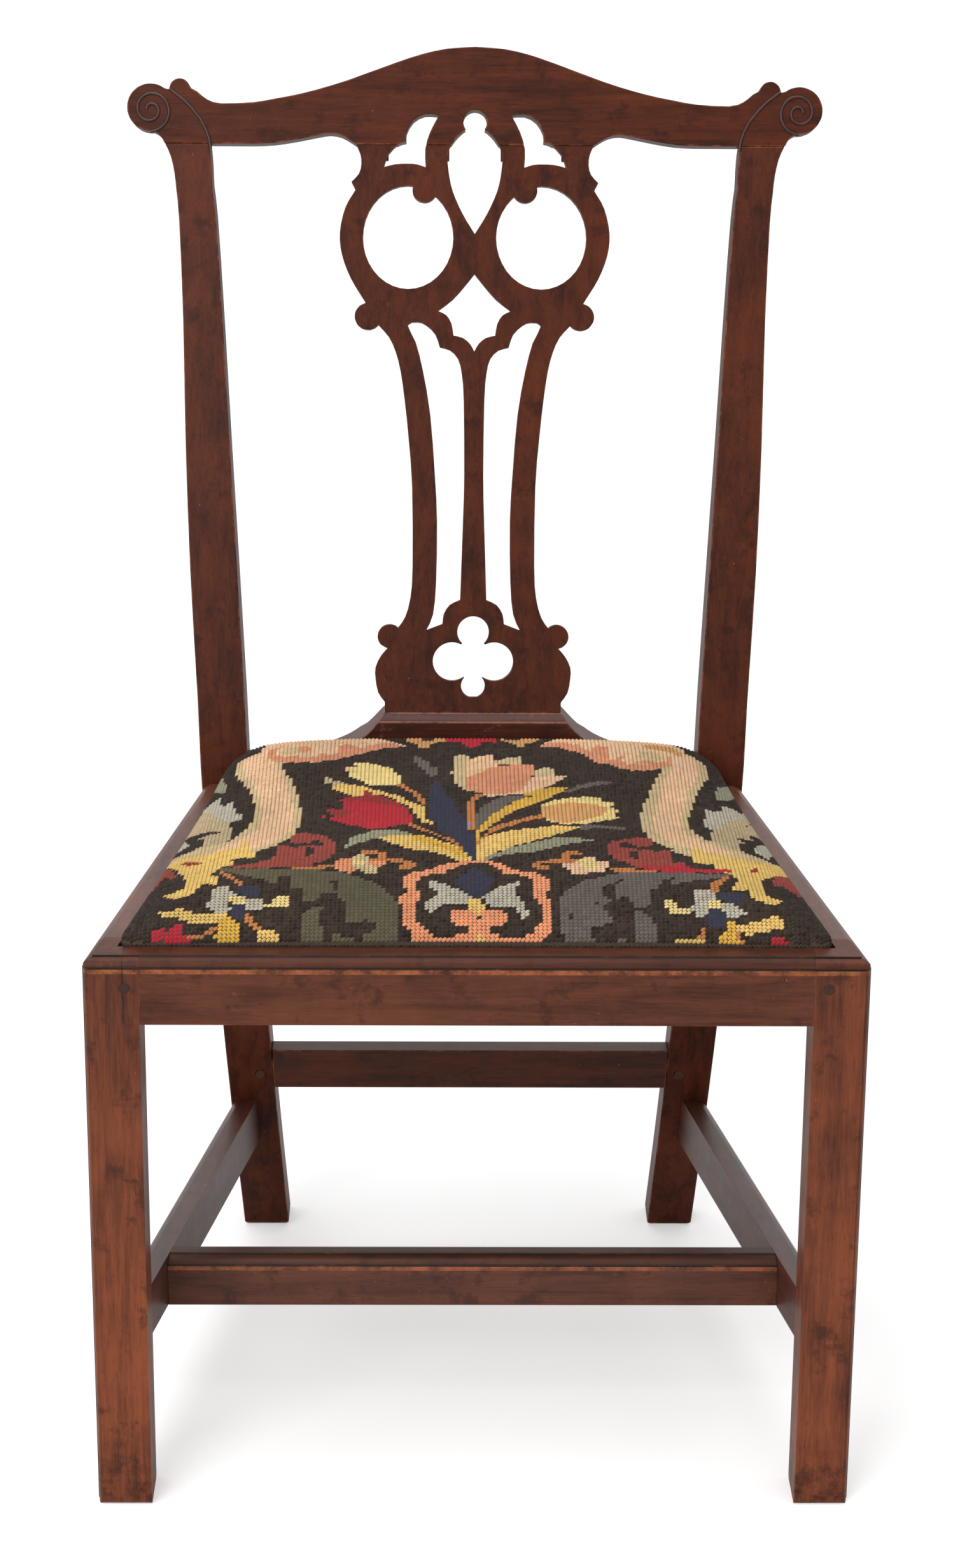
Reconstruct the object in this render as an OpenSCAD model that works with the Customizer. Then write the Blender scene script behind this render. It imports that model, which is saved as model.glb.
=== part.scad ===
// A joined side chair: four legs tied by stretchers, a raked back with a pierced
// splat, and a lift-out seat stuffed and covered in needlework.
// Millimetres. The floor is Z = 0, the front of the chair faces -Y.

/* [Overall] */
// Width across the front, to the sharp corners of the legs
front_w = 543; // [510:1:580]
// Width across the rear posts where the seat rails meet them
back_w = 424; // [405:1:445]
// Depth from the face of the front rail to the fronts of the rear posts
seat_d = 370; // [345:1:395]
// Height of the front and side seat rails
seat_h = 423; // [400:1:450]
// Height of the line where the crest rail sits on the posts
back_h = 905; // [870:1:940]

/* [Legs and posts] */
// Front leg, across its face
leg = 40; // [37:1:44]
// Rear post, seen from the front
post_w = 37; // [34:1:41]
// Rear post, front to back at the seat
post_d = 38; // [36:1:44]
// Rear post, front to back at the foot
post_foot_d = 35; // [31:1:40]
// Rear post, front to back under the crest rail
post_top_d = 24; // [22:1:28]
// Width across the rear feet
foot_w = 377; // [355:1:395]
// Distance that the rear feet stand behind the seat line
foot_splay = 86; // [65:1:95]
// Distance that the posts lean back between seat and crest rail
back_rake = 111; // [98:1:122]
// Chamfer round the bottom of each foot
foot_chamfer = 2.5; // [1:0.5:4]

/* [Seat rails] */
// Height of the front and side rails
rail_h = 49; // [44:1:56]
// Thickness of the front and side rails
rail_t = 33; // [30:1:35]
// Top of the front rail left showing in front of the seat
front_top_w = 23; // [20:1:25]
// Top of the side rails left showing beside the seat
side_top_w = 20; // [19:1:23]
// Depth of the rabbet that the seat drops into
rabbet_h = 16; // [14:1:18]
// Rise of the rear rail above the side rails
rear_rise = 18; // [12:1:22]
// Thickness of the rear rail between the posts
rear_rail_t = 32; // [28:1:34]
// Width of the ledge on the rear rail that carries the seat
rear_ledge = 18; // [12:1:22]

/* [Mouldings] */
// Width of the moulding run along the top outer edges
mould_w = 7; // [5:1:8]
// Height of that moulding
mould_h = 8; // [6:1:10]
// Square step on each side of the moulding
quirk = 1; // [0.5:0.25:1.5]
// Width of the moulding down the outer corner of a front leg
corner_w = 5; // [4:0.5:7]

/* [Stretchers] */
// Height of the tops of the side and medial stretchers
stretcher_z = 135; // [115:1:150]
// Height of the side and medial stretchers in section
stretcher_h = 40; // [34:1:44]
// Thickness of the side stretchers
stretcher_t = 21; // [19:1:24]
// Distance of the medial stretcher behind the face of the front rail
medial_y = 126; // [90:1:200]
// Thickness of the medial stretcher
medial_t = 17; // [15:1:22]
// Height of the top of the rear stretcher
rear_stretcher_z = 183; // [178:1:200]
// Height of the rear stretcher in section
rear_stretcher_h = 33; // [28:1:36]
// Thickness of the rear stretcher
rear_stretcher_t = 20; // [18:1:22]

/* [Back] */
// Height of the shoe above the rear seat rail
shoe_h = 40; // [34:1:48]
// Half of the width of the shoe at its foot
shoe_half_w = 140; // [120:1:150]
// Half of the width of the splat
splat_half_w = 104; // [96:1:112]
// Thickness of the splat
splat_t = 11; // [10:1:13]
// Half of the width of the crest rail over its ears
crest_half_w = 267.5; // [255:0.5:275]
// Height of the crest rail above its joint line
crest_h = 74.5; // [66:0.5:84]
// Thickness of the crest rail
crest_t = 23; // [22:1:26]

/* [Joints] */
// Thickness of the tenons
tenon_t = 9; // [8:0.5:9]
// Length of the tenons
tenon_l = 18; // [14:1:19]
// Clearance round a tenon and round a peg
joint_fit = 0.1; // [0.05:0.05:0.2]
// Diameter of the pegs
peg_d = 7.6; // [6:0.2:8]

/* [Lift-out seat] */
// Clearance between the seat and the frame around it
seat_gap = 0.6; // [0.4:0.1:1.5]
// Height of the stuffed crown above the seat rails, at its middle
crown_h = 42.5; // [34:0.5:54]
// How much higher the crown is at the back than at its middle, as a share
crown_lean_share = 0.12; // [0:0.02:0.2]
// Thickness of the needlework cover
cover_t = 1.8; // [1.2:0.1:2.2]
// Width of the cover turned in under the seat frame
hem_w = 20; // [16:1:24]
// Thickness of the wooden seat frame
frame_t = 15.5; // [13:0.5:17]
// Width of the members of the seat frame
frame_w = 52; // [45:1:58]
// Width of a strap of webbing
strap_w = 50; // [44:1:54]
// Thickness of a strap of webbing
strap_t = 1.2; // [1:0.1:1.5]
// Diameter of the head of a tack
tack_head_d = 6; // [5:0.5:7]

/* [Hidden] */
$fn = 48;

mahogany = "#5a2a1b";
worn_mahogany = "#7a3d22";
pine = "#c79a63";
oak_peg = "#3c2419";
jute = "#b99a6b";
linen = "#cbb58d";
horsehair = "#4a3a2e";
wool = "#3b302a";
iron = "#56504b";

// One overrun for all cuts, and a reach that clears the whole chair
over = 1;
reach = 2 * front_w;

half_front = front_w / 2;
half_back = back_w / 2;
half_foot = foot_w / 2;
seat_angle = atan2(half_front - half_back, seat_d);
side_len = norm([half_front - half_back, seat_d]);
rail_bottom = seat_h - rail_h;
ledge_z = seat_h - rabbet_h;
rear_top = seat_h + rear_rise;
shoe_top = rear_top + shoe_h;

// Tenons of the seat rails: behind the face, below the top, above the bottom
tenon_set = 10;
tenon_drop = 11;
tenon_foot = 5;

// The rear posts are straight where the seat rails meet them, curve back to the
// feet below, and lean back above
flat_margin = 4;
flat_low = rail_bottom - flat_margin;
splay_power = 1.6;
lean_share = 0.75;

// The splat and the crest rail lie in one leaning plane
splat_foot_y = seat_d + flat_margin;
lean = atan2(seat_d + back_rake - splat_foot_y, back_h - shoe_top);
splat_len = (back_h - shoe_top) / cos(lean);
splat_set = 1;
overall_d = seat_d + back_rake + crest_h * sin(lean) + crest_t * cos(lean);

function lerp(a, b, t) = a + (b - a) * t;

// A smooth line through points, with so many steps between two of them
function smooth(pts, steps) = [
    for (i = [0 : len(pts) - 2])
        let (
            a = i > 0 ? pts[i - 1] : 2 * pts[0] - pts[1],
            b = pts[i],
            c = pts[i + 1],
            d = i < len(pts) - 2 ? pts[i + 2] : 2 * c - b)
        for (k = [0 : i < len(pts) - 2 ? steps - 1 : steps])
            let (t = k / steps)
            (2 * b + (c - a) * t + (2 * a - 5 * b + 4 * c - d) * t * t
                + (3 * b - a - 3 * c + d) * t * t * t) / 2
];
function scaled(pts, w, h) = [for (p = pts) [p[0] * w, p[1] * h]];
function reversed(pts) = [for (i = [len(pts) - 1 : -1 : 0]) pts[i]];
function flipped(pts) = [for (p = reversed(pts)) [-p[0], p[1]]];
function rest(pts) = [for (i = [1 : len(pts) - 1]) pts[i]];
// Closes a half outline that starts and ends on the centre line
function closed(pts) = concat(pts, [for (i = [len(pts) - 2 : -1 : 1]) [-pts[i][0], pts[i][1]]]);

// Puts what is drawn from the front face into the middle of the chair's depth
module placed() {
    translate([0, -overall_d / 2, 0]) children();
}

// What is drawn on the right, or its mirror image on the left
module sided(side) {
    if (side > 0) children();
    else mirror([1, 0, 0]) children();
}

// Both at once
module paired() {
    children();
    mirror([1, 0, 0]) children();
}

// Runs a section drawn in X and Z along Y
module run(length) {
    translate([0, length, 0]) rotate([90, 0, 0]) linear_extrude(length) children();
}

// Frame of the right side rail: X points outwards, Y runs back, Z = 0 is its top
module on_side_rail() {
    translate([half_front, 0, seat_h]) rotate([0, 0, seat_angle]) children();
}

// Frame of the leaning back: Z runs up the splat from the top of the shoe
module on_back() {
    translate([0, splat_foot_y, shoe_top]) rotate([-lean, 0, 0]) children();
}

// Quarter round between two square steps, from the outer face to the top
mould_steps = 5;
function moulding(w, h) = concat(
    [[0, -h], [-quirk, -h]],
    [for (k = [0 : mould_steps])
        let (a = 90 * k / mould_steps)
        [-w + (w - quirk) * cos(a), -h + quirk + (h - 2 * quirk) * sin(a)]],
    [[-w, 0]]);

module rabbeted_section(top_w) {
    polygon(concat([[0, -rail_h]], moulding(mould_w, mould_h),
        [[-top_w, 0], [-top_w, -rabbet_h], [-rail_t, -rabbet_h], [-rail_t, -rail_h]]));
}

module stretcher_section(t) {
    polygon(concat([[0, -stretcher_h]], moulding(mould_w, mould_h), [[-t, 0], [-t, -stretcher_h]]));
}

// Bars whose ends are the tenons of a rail. With grow they cut the mortises.
front_rail_half = half_front - leg;
tenon_h = rail_h - tenon_foot - tenon_drop;
module front_tenons(grow) {
    translate([-front_rail_half - tenon_l - grow, tenon_set - grow, rail_bottom + tenon_foot - grow])
        cube([2 * (front_rail_half + tenon_l + grow), tenon_t + 2 * grow, tenon_h + 2 * grow]);
}

// The tenons of the side rails stop behind those of the front rail, and those
// of the rear rail pass behind them
tenon_wall = 3;
side_tenon_y = leg - tenon_l + tenon_wall;
module side_tenons(grow) {
    on_side_rail()
        translate([-tenon_set - tenon_t - grow, side_tenon_y - grow, -rail_h + tenon_foot - grow])
        cube([tenon_t + 2 * grow, side_len + tenon_l - side_tenon_y + 2 * grow, tenon_h + 2 * grow]);
}

rear_tenon_y = seat_d + tenon_l + tenon_wall;
inner_seat_x = half_back - post_w;
module rear_tenons(grow) {
    translate([-inner_seat_x - tenon_l - grow, rear_tenon_y - grow, rail_bottom + tenon_foot - grow])
        cube([2 * (inner_seat_x + tenon_l + grow), tenon_t + 2 * grow, tenon_h + 2 * grow]);
}

// Opening that the seat drops into, drawn in by an inset
shoe_over = 4;
pocket_front = front_top_w;
pocket_back = seat_d - shoe_over;
function pocket_x(y, inset) =
    half_front - (side_top_w + inset) / cos(seat_angle) - y * tan(seat_angle);
function pocket(inset) =
    let (front = pocket_front + inset, back = pocket_back - inset)
    [[-pocket_x(front, inset), front], [pocket_x(front, inset), front],
        [pocket_x(back, inset), back], [-pocket_x(back, inset), back]];

// Pegs. The front ones are driven through the faces of the legs, the side ones
// through the outer sides, the rear ones through the fronts of the rear legs.
peg_l = 28;
front_peg_in = 30.2;
front_peg_drop = 21.6;
side_peg_drop = 33;
rear_peg_in = 26.5;
rear_peg_z = rear_stretcher_z - rear_stretcher_h * 2 / 3;
module front_pegs(grow) {
    paired()
        translate([half_front - front_peg_in, 0, seat_h - front_peg_drop])
        rotate([-90, 0, 0]) translate([0, 0, -grow]) cylinder(d = peg_d + 2 * grow, h = peg_l + 2 * grow);
}

module side_pegs(grow) {
    paired() on_side_rail()
        for (y = [leg - tenon_l / 2, side_len + tenon_l / 2])
            translate([0, y, -side_peg_drop])
            rotate([0, -90, 0]) translate([0, 0, -grow]) cylinder(d = peg_d + 2 * grow, h = peg_l + 2 * grow);
}

module rear_pegs(grow) {
    paired()
        translate([rear_leg_x(rear_peg_z) - rear_peg_in, post_front(rear_peg_z + peg_d / 2), rear_peg_z])
        rotate([-90, 0, 0]) translate([0, 0, -grow]) cylinder(d = peg_d + 2 * grow, h = peg_l + 2 * grow);
}

// The foot's chamfer is a little smaller on the outer side
side_chamfer = foot_chamfer * 4 / 5;

// Front leg. Its outer side follows the side rail, and the mouldings of the
// rails run on over its top and down its outer corner. The section shapes only
// that corner and the inner side, and is oversize where the profiles cut.
function plan_x(x, y) = half_front + x - y * tan(seat_angle);
module leg_section() {
    polygon(concat(
        [[plan_x(over, mould_w), mould_w]],
        [for (p = rest(moulding(corner_w, mould_w))) [plan_x(p[0], -p[1]), -p[1]]],
        [[half_front - corner_w, -over], [half_front - leg, -over], [half_front - leg, leg + over],
            [plan_x(over, leg + over), leg + over]]));
}

module leg_profile(depth, outer, inner) {
    polygon(concat([[0, outer - seat_h]], moulding(mould_w, mould_h),
        [[-depth, 0], [-depth, inner - seat_h], [inner - depth, -seat_h], [-outer, -seat_h]]));
}

module front_leg(side) {
    color(mahogany) placed() sided(side) difference() {
        intersection() {
            translate([0, 0, -over]) linear_extrude(seat_h + 2 * over) leg_section();
            translate([0, 0, seat_h]) rotate([0, 0, -90]) run(front_w)
                leg_profile(leg, foot_chamfer, foot_chamfer);
            on_side_rail() translate([0, -leg, 0]) run(3 * leg)
                leg_profile(2 * leg, side_chamfer, 0);
        }
        front_tenons(joint_fit);
        side_tenons(joint_fit);
        side_stretcher_tenons(joint_fit);
        front_pegs(joint_fit);
        side_pegs(joint_fit);
        translate([0, 0, ledge_z]) linear_extrude(rabbet_h + over) polygon(pocket(0));
    }
}

module front_seat_rail() {
    color(mahogany) placed() difference() {
        union() {
            translate([-front_rail_half, 0, seat_h]) rotate([0, 0, -90])
                run(2 * front_rail_half) rabbeted_section(front_top_w);
            front_tenons(0);
        }
        front_pegs(joint_fit);
    }
}

module side_seat_rail(side) {
    color(mahogany) placed() sided(side) difference() {
        union() {
            intersection() {
                on_side_rail() translate([0, -leg, 0]) run(side_len + 3 * leg)
                    rabbeted_section(side_top_w);
                translate([0, leg, 0]) cube([front_w, seat_d - leg, seat_h + over]);
            }
            side_tenons(0);
        }
        side_pegs(joint_fit);
    }
}

// Rear post: leg and upright in one piece, shaped in side view and front view
leg_steps = 8;
back_steps = 9;
function post_front(z) =
    z < flat_low ? seat_d + foot_splay * pow(1 - z / flat_low, splay_power)
    : z < rear_top ? seat_d
    : let (t = (z - rear_top) / (back_h - rear_top))
        seat_d + back_rake * (lean_share * t + (1 - lean_share) * t * t);
function post_depth(z) =
    z < seat_h ? lerp(post_foot_d, post_d, z / seat_h)
    : lerp(post_d, post_top_d, (z - seat_h) / (back_h - seat_h));
function post_back(z) = post_front(z) + post_depth(z);
function rear_leg_x(z) = lerp(half_foot, half_back, z / seat_h);
post_levels = concat(
    [foot_chamfer],
    [for (k = [1 : leg_steps]) flat_low * k / leg_steps],
    [for (k = [0 : back_steps]) lerp(rear_top, back_h + post_top_d, k / back_steps)]);

module post_side_view() {
    rotate([90, 0, 90]) linear_extrude(reach, center = true) polygon(concat(
        [[post_front(0) + foot_chamfer, 0]],
        [for (z = post_levels) [post_front(z), z]],
        [for (z = reversed(post_levels)) [post_back(z), z]],
        [[post_back(0) - foot_chamfer, 0]]));
}

// Upright seen from the front: share of its height, of half_back, of post_w
upright_shares = [[0.139, 1.012, 0.99], [0.338, 1.036, 0.985], [0.535, 1.051, 0.92],
    [0.732, 1.059, 0.82], [0.880, 1.073, 0.77], [0.927, 1.083, 0.755],
    [0.954, 1.090, 0.78], [0.979, 1.103, 0.83], [1.000, 1.125, 0.91], [1.030, 1.165, 1.05]];
module post_front_view() {
    rise = back_h - seat_h;
    outer = concat(
        [[half_foot - foot_chamfer, 0], [rear_leg_x(foot_chamfer), foot_chamfer], [half_back, seat_h]],
        smooth([for (r = upright_shares) [half_back * r[1], seat_h + rise * r[0]]], 2));
    inner = concat(
        [[half_foot - post_w + foot_chamfer, 0], [rear_leg_x(foot_chamfer) - post_w, foot_chamfer],
            [inner_seat_x, seat_h]],
        smooth([for (r = upright_shares)
            [half_back * r[1] - post_w * r[2], seat_h + rise * r[0]]], 2));
    translate([0, reach / 2, 0]) run(reach) polygon(concat(outer, reversed(inner)));
}

// Tenon on the head of each post, let into the crest rail
head_x = 1.045 * half_back;
head_w = post_w / 2;
head_l = 20;
module head_tenon(grow) {
    on_back()
        translate([head_x - head_w / 2 - grow, (crest_t - tenon_t) / 2 - grow, splat_len - tenon_l])
        cube([head_w + 2 * grow, tenon_t + 2 * grow, tenon_l + head_l + grow]);
}

module rear_post(side) {
    color(mahogany) placed() sided(side) difference() {
        union() {
            difference() {
                intersection() {
                    post_side_view();
                    translate([0, -reach / 2, 0]) post_front_view();
                }
                on_back() translate([0, -reach / 2, splat_len]) cube([reach, reach, crest_h]);
            }
            head_tenon(0);
        }
        side_tenons(joint_fit);
        rear_tenons(joint_fit);
        side_stretcher_tenons(joint_fit);
        rear_stretcher_tenons(joint_fit);
        side_pegs(joint_fit);
        rear_pegs(joint_fit);
    }
}

module rear_seat_rail() {
    color(mahogany) placed() union() {
        difference() {
            translate([post_w / 2 - half_back, seat_d, rail_bottom])
                cube([back_w - post_w, rear_rail_t, rear_top - rail_bottom]);
            paired() post_front_view_shadow();
        }
        translate([flat_margin - inner_seat_x, seat_d - rear_ledge, rail_bottom])
            cube([2 * (inner_seat_x - flat_margin), rear_ledge, ledge_z - rail_bottom]);
        rear_tenons(0);
    }
}

// Everything behind the front view of a post, for trimming what meets its side
module post_front_view_shadow() {
    translate([0, -reach / 2, 0]) post_front_view();
}

// Shoe: a coved block on the rear rail that holds the foot of the splat
shoe_end_shares = [[0.493, 1], [0.535, 0.83], [0.585, 0.63], [0.65, 0.44], [0.72, 0.30],
    [0.81, 0.175], [0.90, 0.085], [1, 0.03]];
shoe_side_shares = [[0, 0], [0, 0.86], [0.045, 0.88], [0.10, 0.91], [0.19, 1], [0.75, 1],
    [0.79, 0.80], [0.86, 0.62], [1, 0.5], [1, 0]];
splat_tenon_half_w = 60;
splat_tenon_t = 7;
splat_tenon_l = 12;
module splat_foot_tenon(grow) {
    on_back() translate([-splat_tenon_half_w - grow, splat_set + (splat_t - splat_tenon_t) / 2 - grow,
        -splat_tenon_l - grow])
        cube([2 * (splat_tenon_half_w + grow), splat_tenon_t + 2 * grow, 2 * splat_tenon_l]);
}

module shoe() {
    deep = rear_rail_t + shoe_over;
    ends = scaled(smooth(shoe_end_shares, 2), shoe_half_w, shoe_h);
    color(worn_mahogany) placed() difference() {
        translate([0, pocket_back, rear_top]) intersection() {
            run(deep) polygon(concat(flipped(concat(ends, [[shoe_half_w, 0]])), ends,
                [[shoe_half_w, 0]]));
            rotate([90, 0, 90]) linear_extrude(reach, center = true)
                polygon(scaled(shoe_side_shares, deep, shoe_h));
        }
        splat_foot_tenon(joint_fit);
    }
}

// Splat. Outlines are shares of its half width and its length. Ribs and rings
// run from the foot up; each list ends in a cusp where the next one begins.
base_shares = [[0.66, -0.03], [0.66, 0.018], [0.71, 0.035], [0.73, 0.06], [0.73, 0.08],
    [0.69, 0.10], [0.635, 0.115]];
rib_shares = [[0.56, 0.151], [0.51, 0.169], [0.47, 0.204], [0.455, 0.26], [0.46, 0.40],
    [0.486, 0.483], [0.516, 0.551], [0.548, 0.604], [0.585, 0.638], [0.635, 0.664], [0.71, 0.684]];
ring_shares = [[0.82, 0.728], [0.92, 0.767], [0.985, 0.808], [1, 0.847], [0.96, 0.890], [0.885, 0.921]];
shoulder_shares = [[0.915, 0.935], [0.86, 0.949], [0.842, 0.966], [0.85, 0.984], [0.88, 1]];
diamond_shares = [
    [[0, 0.775], [0.06, 0.757], [0.16, 0.730], [0.27, 0.710]],
    [[0.27, 0.710], [0.21, 0.703], [0.17, 0.688], [0.155, 0.667]],
    [[0.155, 0.667], [0.085, 0.663], [0.03, 0.652], [0, 0.639]]];
slot_shares = [
    [[0.35, 0.146], [0.30, 0.174], [0.278, 0.230], [0.272, 0.338], [0.29, 0.424], [0.325, 0.527],
        [0.38, 0.604], [0.435, 0.655], [0.495, 0.685], [0.42, 0.690], [0.36, 0.685], [0.29, 0.669],
        [0.256, 0.646]],
    [[0.256, 0.646], [0.18, 0.641], [0.12, 0.626], [0.092, 0.600], [0.077, 0.553], [0.071, 0.424],
        [0.079, 0.338], [0.098, 0.200]],
    [[0.098, 0.200], [0.175, 0.191], [0.22, 0.175], [0.23, 0.157]],
    [[0.23, 0.157], [0.35, 0.146]]];
notch_shares = [
    [[0.267, 1.052], [0.37, 1.053], [0.456, 1.042], [0.507, 1.021], [0.507, 1.005]],
    [[0.507, 1.005], [0.56, 1.002], [0.638, 0.984], [0.676, 0.961]],
    [[0.676, 0.961], [0.59, 0.966], [0.50, 0.967], [0.43, 0.966], [0.365, 0.961]],
    [[0.365, 0.961], [0.369, 0.993], [0.332, 1.023], [0.267, 1.052]]];
tear_shares = [[0, 1.03], [0.08, 1.026], [0.144, 1.011], [0.20, 0.987], [0.197, 0.957],
    [0.165, 0.920], [0.09, 0.880], [0, 0.845]];

function joined(lists, steps) = [for (l = lists) each rest(smooth(l, steps))];
function on_splat(pts) = scaled(pts, splat_half_w, splat_len);
function splat_spot(x, y) = [x * splat_half_w, y * splat_len];
function splat_r(share) = share * splat_half_w;

module spot(x, y, r) {
    translate(splat_spot(x, y)) circle(r = splat_r(r));
}

module splat_outline() {
    half = on_splat(concat(base_shares_line(), smooth(rib_shares, 2), smooth(ring_shares, 3),
        smooth(shoulder_shares, 2)));
    polygon(concat(half, flipped(half)));
    paired() {
        spot(0.625, 0.135, 0.09);
        spot(0.79, 0.70, 0.10);
    }
}
function base_shares_line() = concat([base_shares[0]], smooth(rest(base_shares), 2));

module splat_openings() {
    polygon(on_splat(closed(concat(
        smooth(diamond_shares[0], 2), rest(smooth(diamond_shares[1], 2)), rest(smooth(diamond_shares[2], 2))))));
    polygon(on_splat(closed(concat([tear_shares[0]], smooth(rest(tear_shares), 3)))));
    spot(0, 1.040, 0.0875);
    paired() {
        polygon(on_splat(joined(slot_shares, 2)));
        polygon(on_splat(joined(notch_shares, 2)));
        difference() {
            polygon([for (a = [0 : 10 : 350])
                splat_spot(0.494, 0.8385) + [splat_r(0.335) * cos(a), splat_r(0.379) * sin(a)]]);
            spot(0.372, 0.921, 0.091);
        }
        spot(0.157, 0.0905, 0.144);
    }
    spot(0, 0.143, 0.118);
    spot(0, 0.094, 0.144);
    spot(0, 0.0475, 0.089);
}

// Tenons at the head of the splat, in its outer and inner ribs
splat_head_l = 12;
splat_head_shares = [[0.19, 0.29], [0.64, 0.80]];
module splat_head_tenons(grow) {
    on_back() paired() for (s = splat_head_shares)
        translate([s[0] * splat_half_w - grow, splat_set + (splat_t - splat_tenon_t) / 2 - grow,
            splat_len - splat_head_l])
            cube([(s[1] - s[0]) * splat_half_w + 2 * grow, splat_tenon_t + 2 * grow,
                2 * splat_head_l + grow]);
}

module splat() {
    color(mahogany) placed() {
        difference() {
            on_back() translate([0, splat_set, 0]) run(splat_t) difference() {
                splat_outline();
                splat_openings();
            }
            translate([-reach / 2, 0, shoe_top - reach]) cube([reach, reach, reach]);
        }
        intersection() {
            splat_foot_tenon(0);
            on_back() translate([-reach / 2, 0, -reach / 2]) cube([reach, crest_t, reach / 2 + splat_tenon_l]);
        }
        splat_head_tenons(0);
    }
}

// Crest rail with its ears. Shares of crest_half_w and crest_h.
crest_under_shares = [[0.342, 0], [0.359, 0.04], [0.385, 0.09], [0.417, 0.11], [0.452, 0.09],
    [0.516, 0.045], [0.579, 0.01], [0.636, 0]];
crest_ear_shares = [[0.892, 0], [0.905, 0.08], [0.927, 0.13], [0.953, 0.16], [0.979, 0.22], [0.996, 0.31]];
crest_scroll_shares = [[0.979, 0.52], [0.932, 0.60], [0.880, 0.55], [0.849, 0.65], [0.824, 0.58]];
crest_top_shares = [[0.798, 0.53], [0.770, 0.45], [0.729, 0.41], [0.636, 0.425], [0.579, 0.46],
    [0.520, 0.50], [0.452, 0.56], [0.366, 0.655], [0.232, 0.83], [0.157, 0.92], [0.082, 0.98], [0, 1]];
module crest_spot(x, y, r) {
    translate([x * crest_half_w, y * crest_h]) circle(r = r * crest_h);
}

module crest_rail() {
    half = concat([[0, 0]], smooth(crest_under_shares, 2), smooth(crest_ear_shares, 2),
        crest_scroll_shares, smooth(crest_top_shares, 2));
    color(mahogany) placed() difference() {
        on_back() {
            difference() {
                translate([0, 0, splat_len]) run(crest_t) {
                    polygon(scaled(closed(half), crest_half_w, crest_h));
                    paired() {
                        crest_spot(0.9325, 0.368, 0.2415);
                        crest_spot(0.8485, 0.555, 0.1075);
                    }
                }
                translate([0, -over, 0]) run(crest_t + 2 * over) splat_openings();
            }
        }
        splat_head_tenons(joint_fit);
        paired() head_tenon(joint_fit);
    }
}

// Side stretchers stand flush with the outer sides of the legs
stretcher_tenon_set = 6;
stretcher_shoulder = 6;
stretcher_run = post_front(stretcher_z);
stretcher_angle = atan2(half_front - rear_leg_x(stretcher_z), stretcher_run);
stretcher_len = norm([half_front - rear_leg_x(stretcher_z), stretcher_run]);
module on_side_stretcher() {
    translate([half_front, 0, stretcher_z]) rotate([0, 0, stretcher_angle]) children();
}

module side_stretcher_tenons(grow) {
    on_side_stretcher()
        translate([-stretcher_tenon_set - tenon_t - grow, leg - tenon_l - grow,
            -stretcher_h + stretcher_shoulder - grow])
            cube([tenon_t + 2 * grow, stretcher_len - leg + 2 * (tenon_l + grow),
                stretcher_h - stretcher_shoulder - mould_h - quirk + 2 * grow]);
}

module side_stretcher(side) {
    color(mahogany) placed() sided(side) difference() {
        union() {
            difference() {
                on_side_stretcher() translate([0, -leg, 0]) run(stretcher_len + 3 * leg)
                    stretcher_section(stretcher_t);
                translate([0, leg - reach, 0]) cube([reach, reach, seat_h]);
                post_side_view();
                translate([0, post_front(stretcher_z - stretcher_h) + over, 0]) cube([reach, reach, seat_h]);
            }
            side_stretcher_tenons(0);
        }
        medial_tenons(joint_fit);
    }
}

medial_tenon_l = 14;
medial_tenon_t = 7;
medial_inner = half_front - stretcher_t - medial_y * tan(stretcher_angle);
module medial_tenons(grow) {
    translate([-medial_inner - medial_tenon_l - grow, medial_y + (medial_t - medial_tenon_t) / 2 - grow,
        stretcher_z - stretcher_h + stretcher_shoulder - grow])
        cube([2 * (medial_inner + medial_tenon_l + grow), medial_tenon_t + 2 * grow,
            stretcher_h - stretcher_shoulder - mould_h - quirk + 2 * grow]);
}

module medial_stretcher() {
    color(mahogany) placed() union() {
        difference() {
            translate([-half_front, medial_y, stretcher_z]) rotate([0, 0, -90])
                run(front_w) stretcher_section(medial_t);
            paired() on_side_stretcher()
                translate([-stretcher_t, -reach / 2, -stretcher_h - over])
                cube([reach, reach, stretcher_h + 2 * over]);
        }
        medial_tenons(0);
    }
}

rear_stretcher_y = post_front(rear_stretcher_z) + tenon_wall;
rear_stretcher_inner = rear_leg_x(rear_stretcher_z) - post_w;
rear_tenon_foot = 4;
module rear_stretcher_tenons(grow) {
    half = rear_stretcher_inner + tenon_l - quirk;
    translate([-half - grow, rear_stretcher_y + (rear_stretcher_t - tenon_t) / 2 - grow,
        rear_stretcher_z - rear_stretcher_h + rear_tenon_foot - grow])
        cube([2 * (half + grow), tenon_t + 2 * grow,
            rear_stretcher_h - 2 * rear_tenon_foot + 2 * grow]);
}

module rear_stretcher() {
    color(mahogany) placed() difference() {
        union() {
            difference() {
                translate([post_w / 2 - rear_leg_x(rear_stretcher_z), rear_stretcher_y,
                    rear_stretcher_z - rear_stretcher_h])
                    cube([2 * rear_leg_x(rear_stretcher_z) - post_w, rear_stretcher_t, rear_stretcher_h]);
                paired() post_front_view_shadow();
            }
            rear_stretcher_tenons(0);
        }
        rear_pegs(joint_fit);
    }
}

// Glue blocks in the corners of the seat rails, below the seat
front_block_reach = 125;
rear_block_reach = 110;
block_z = rail_bottom + flat_margin;
block_h = ledge_z - flat_margin - block_z;
module side_rail_room() {
    on_side_rail() translate([-rail_t, -reach / 2, -seat_h]) cube([reach, reach, seat_h + over]);
}

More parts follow.
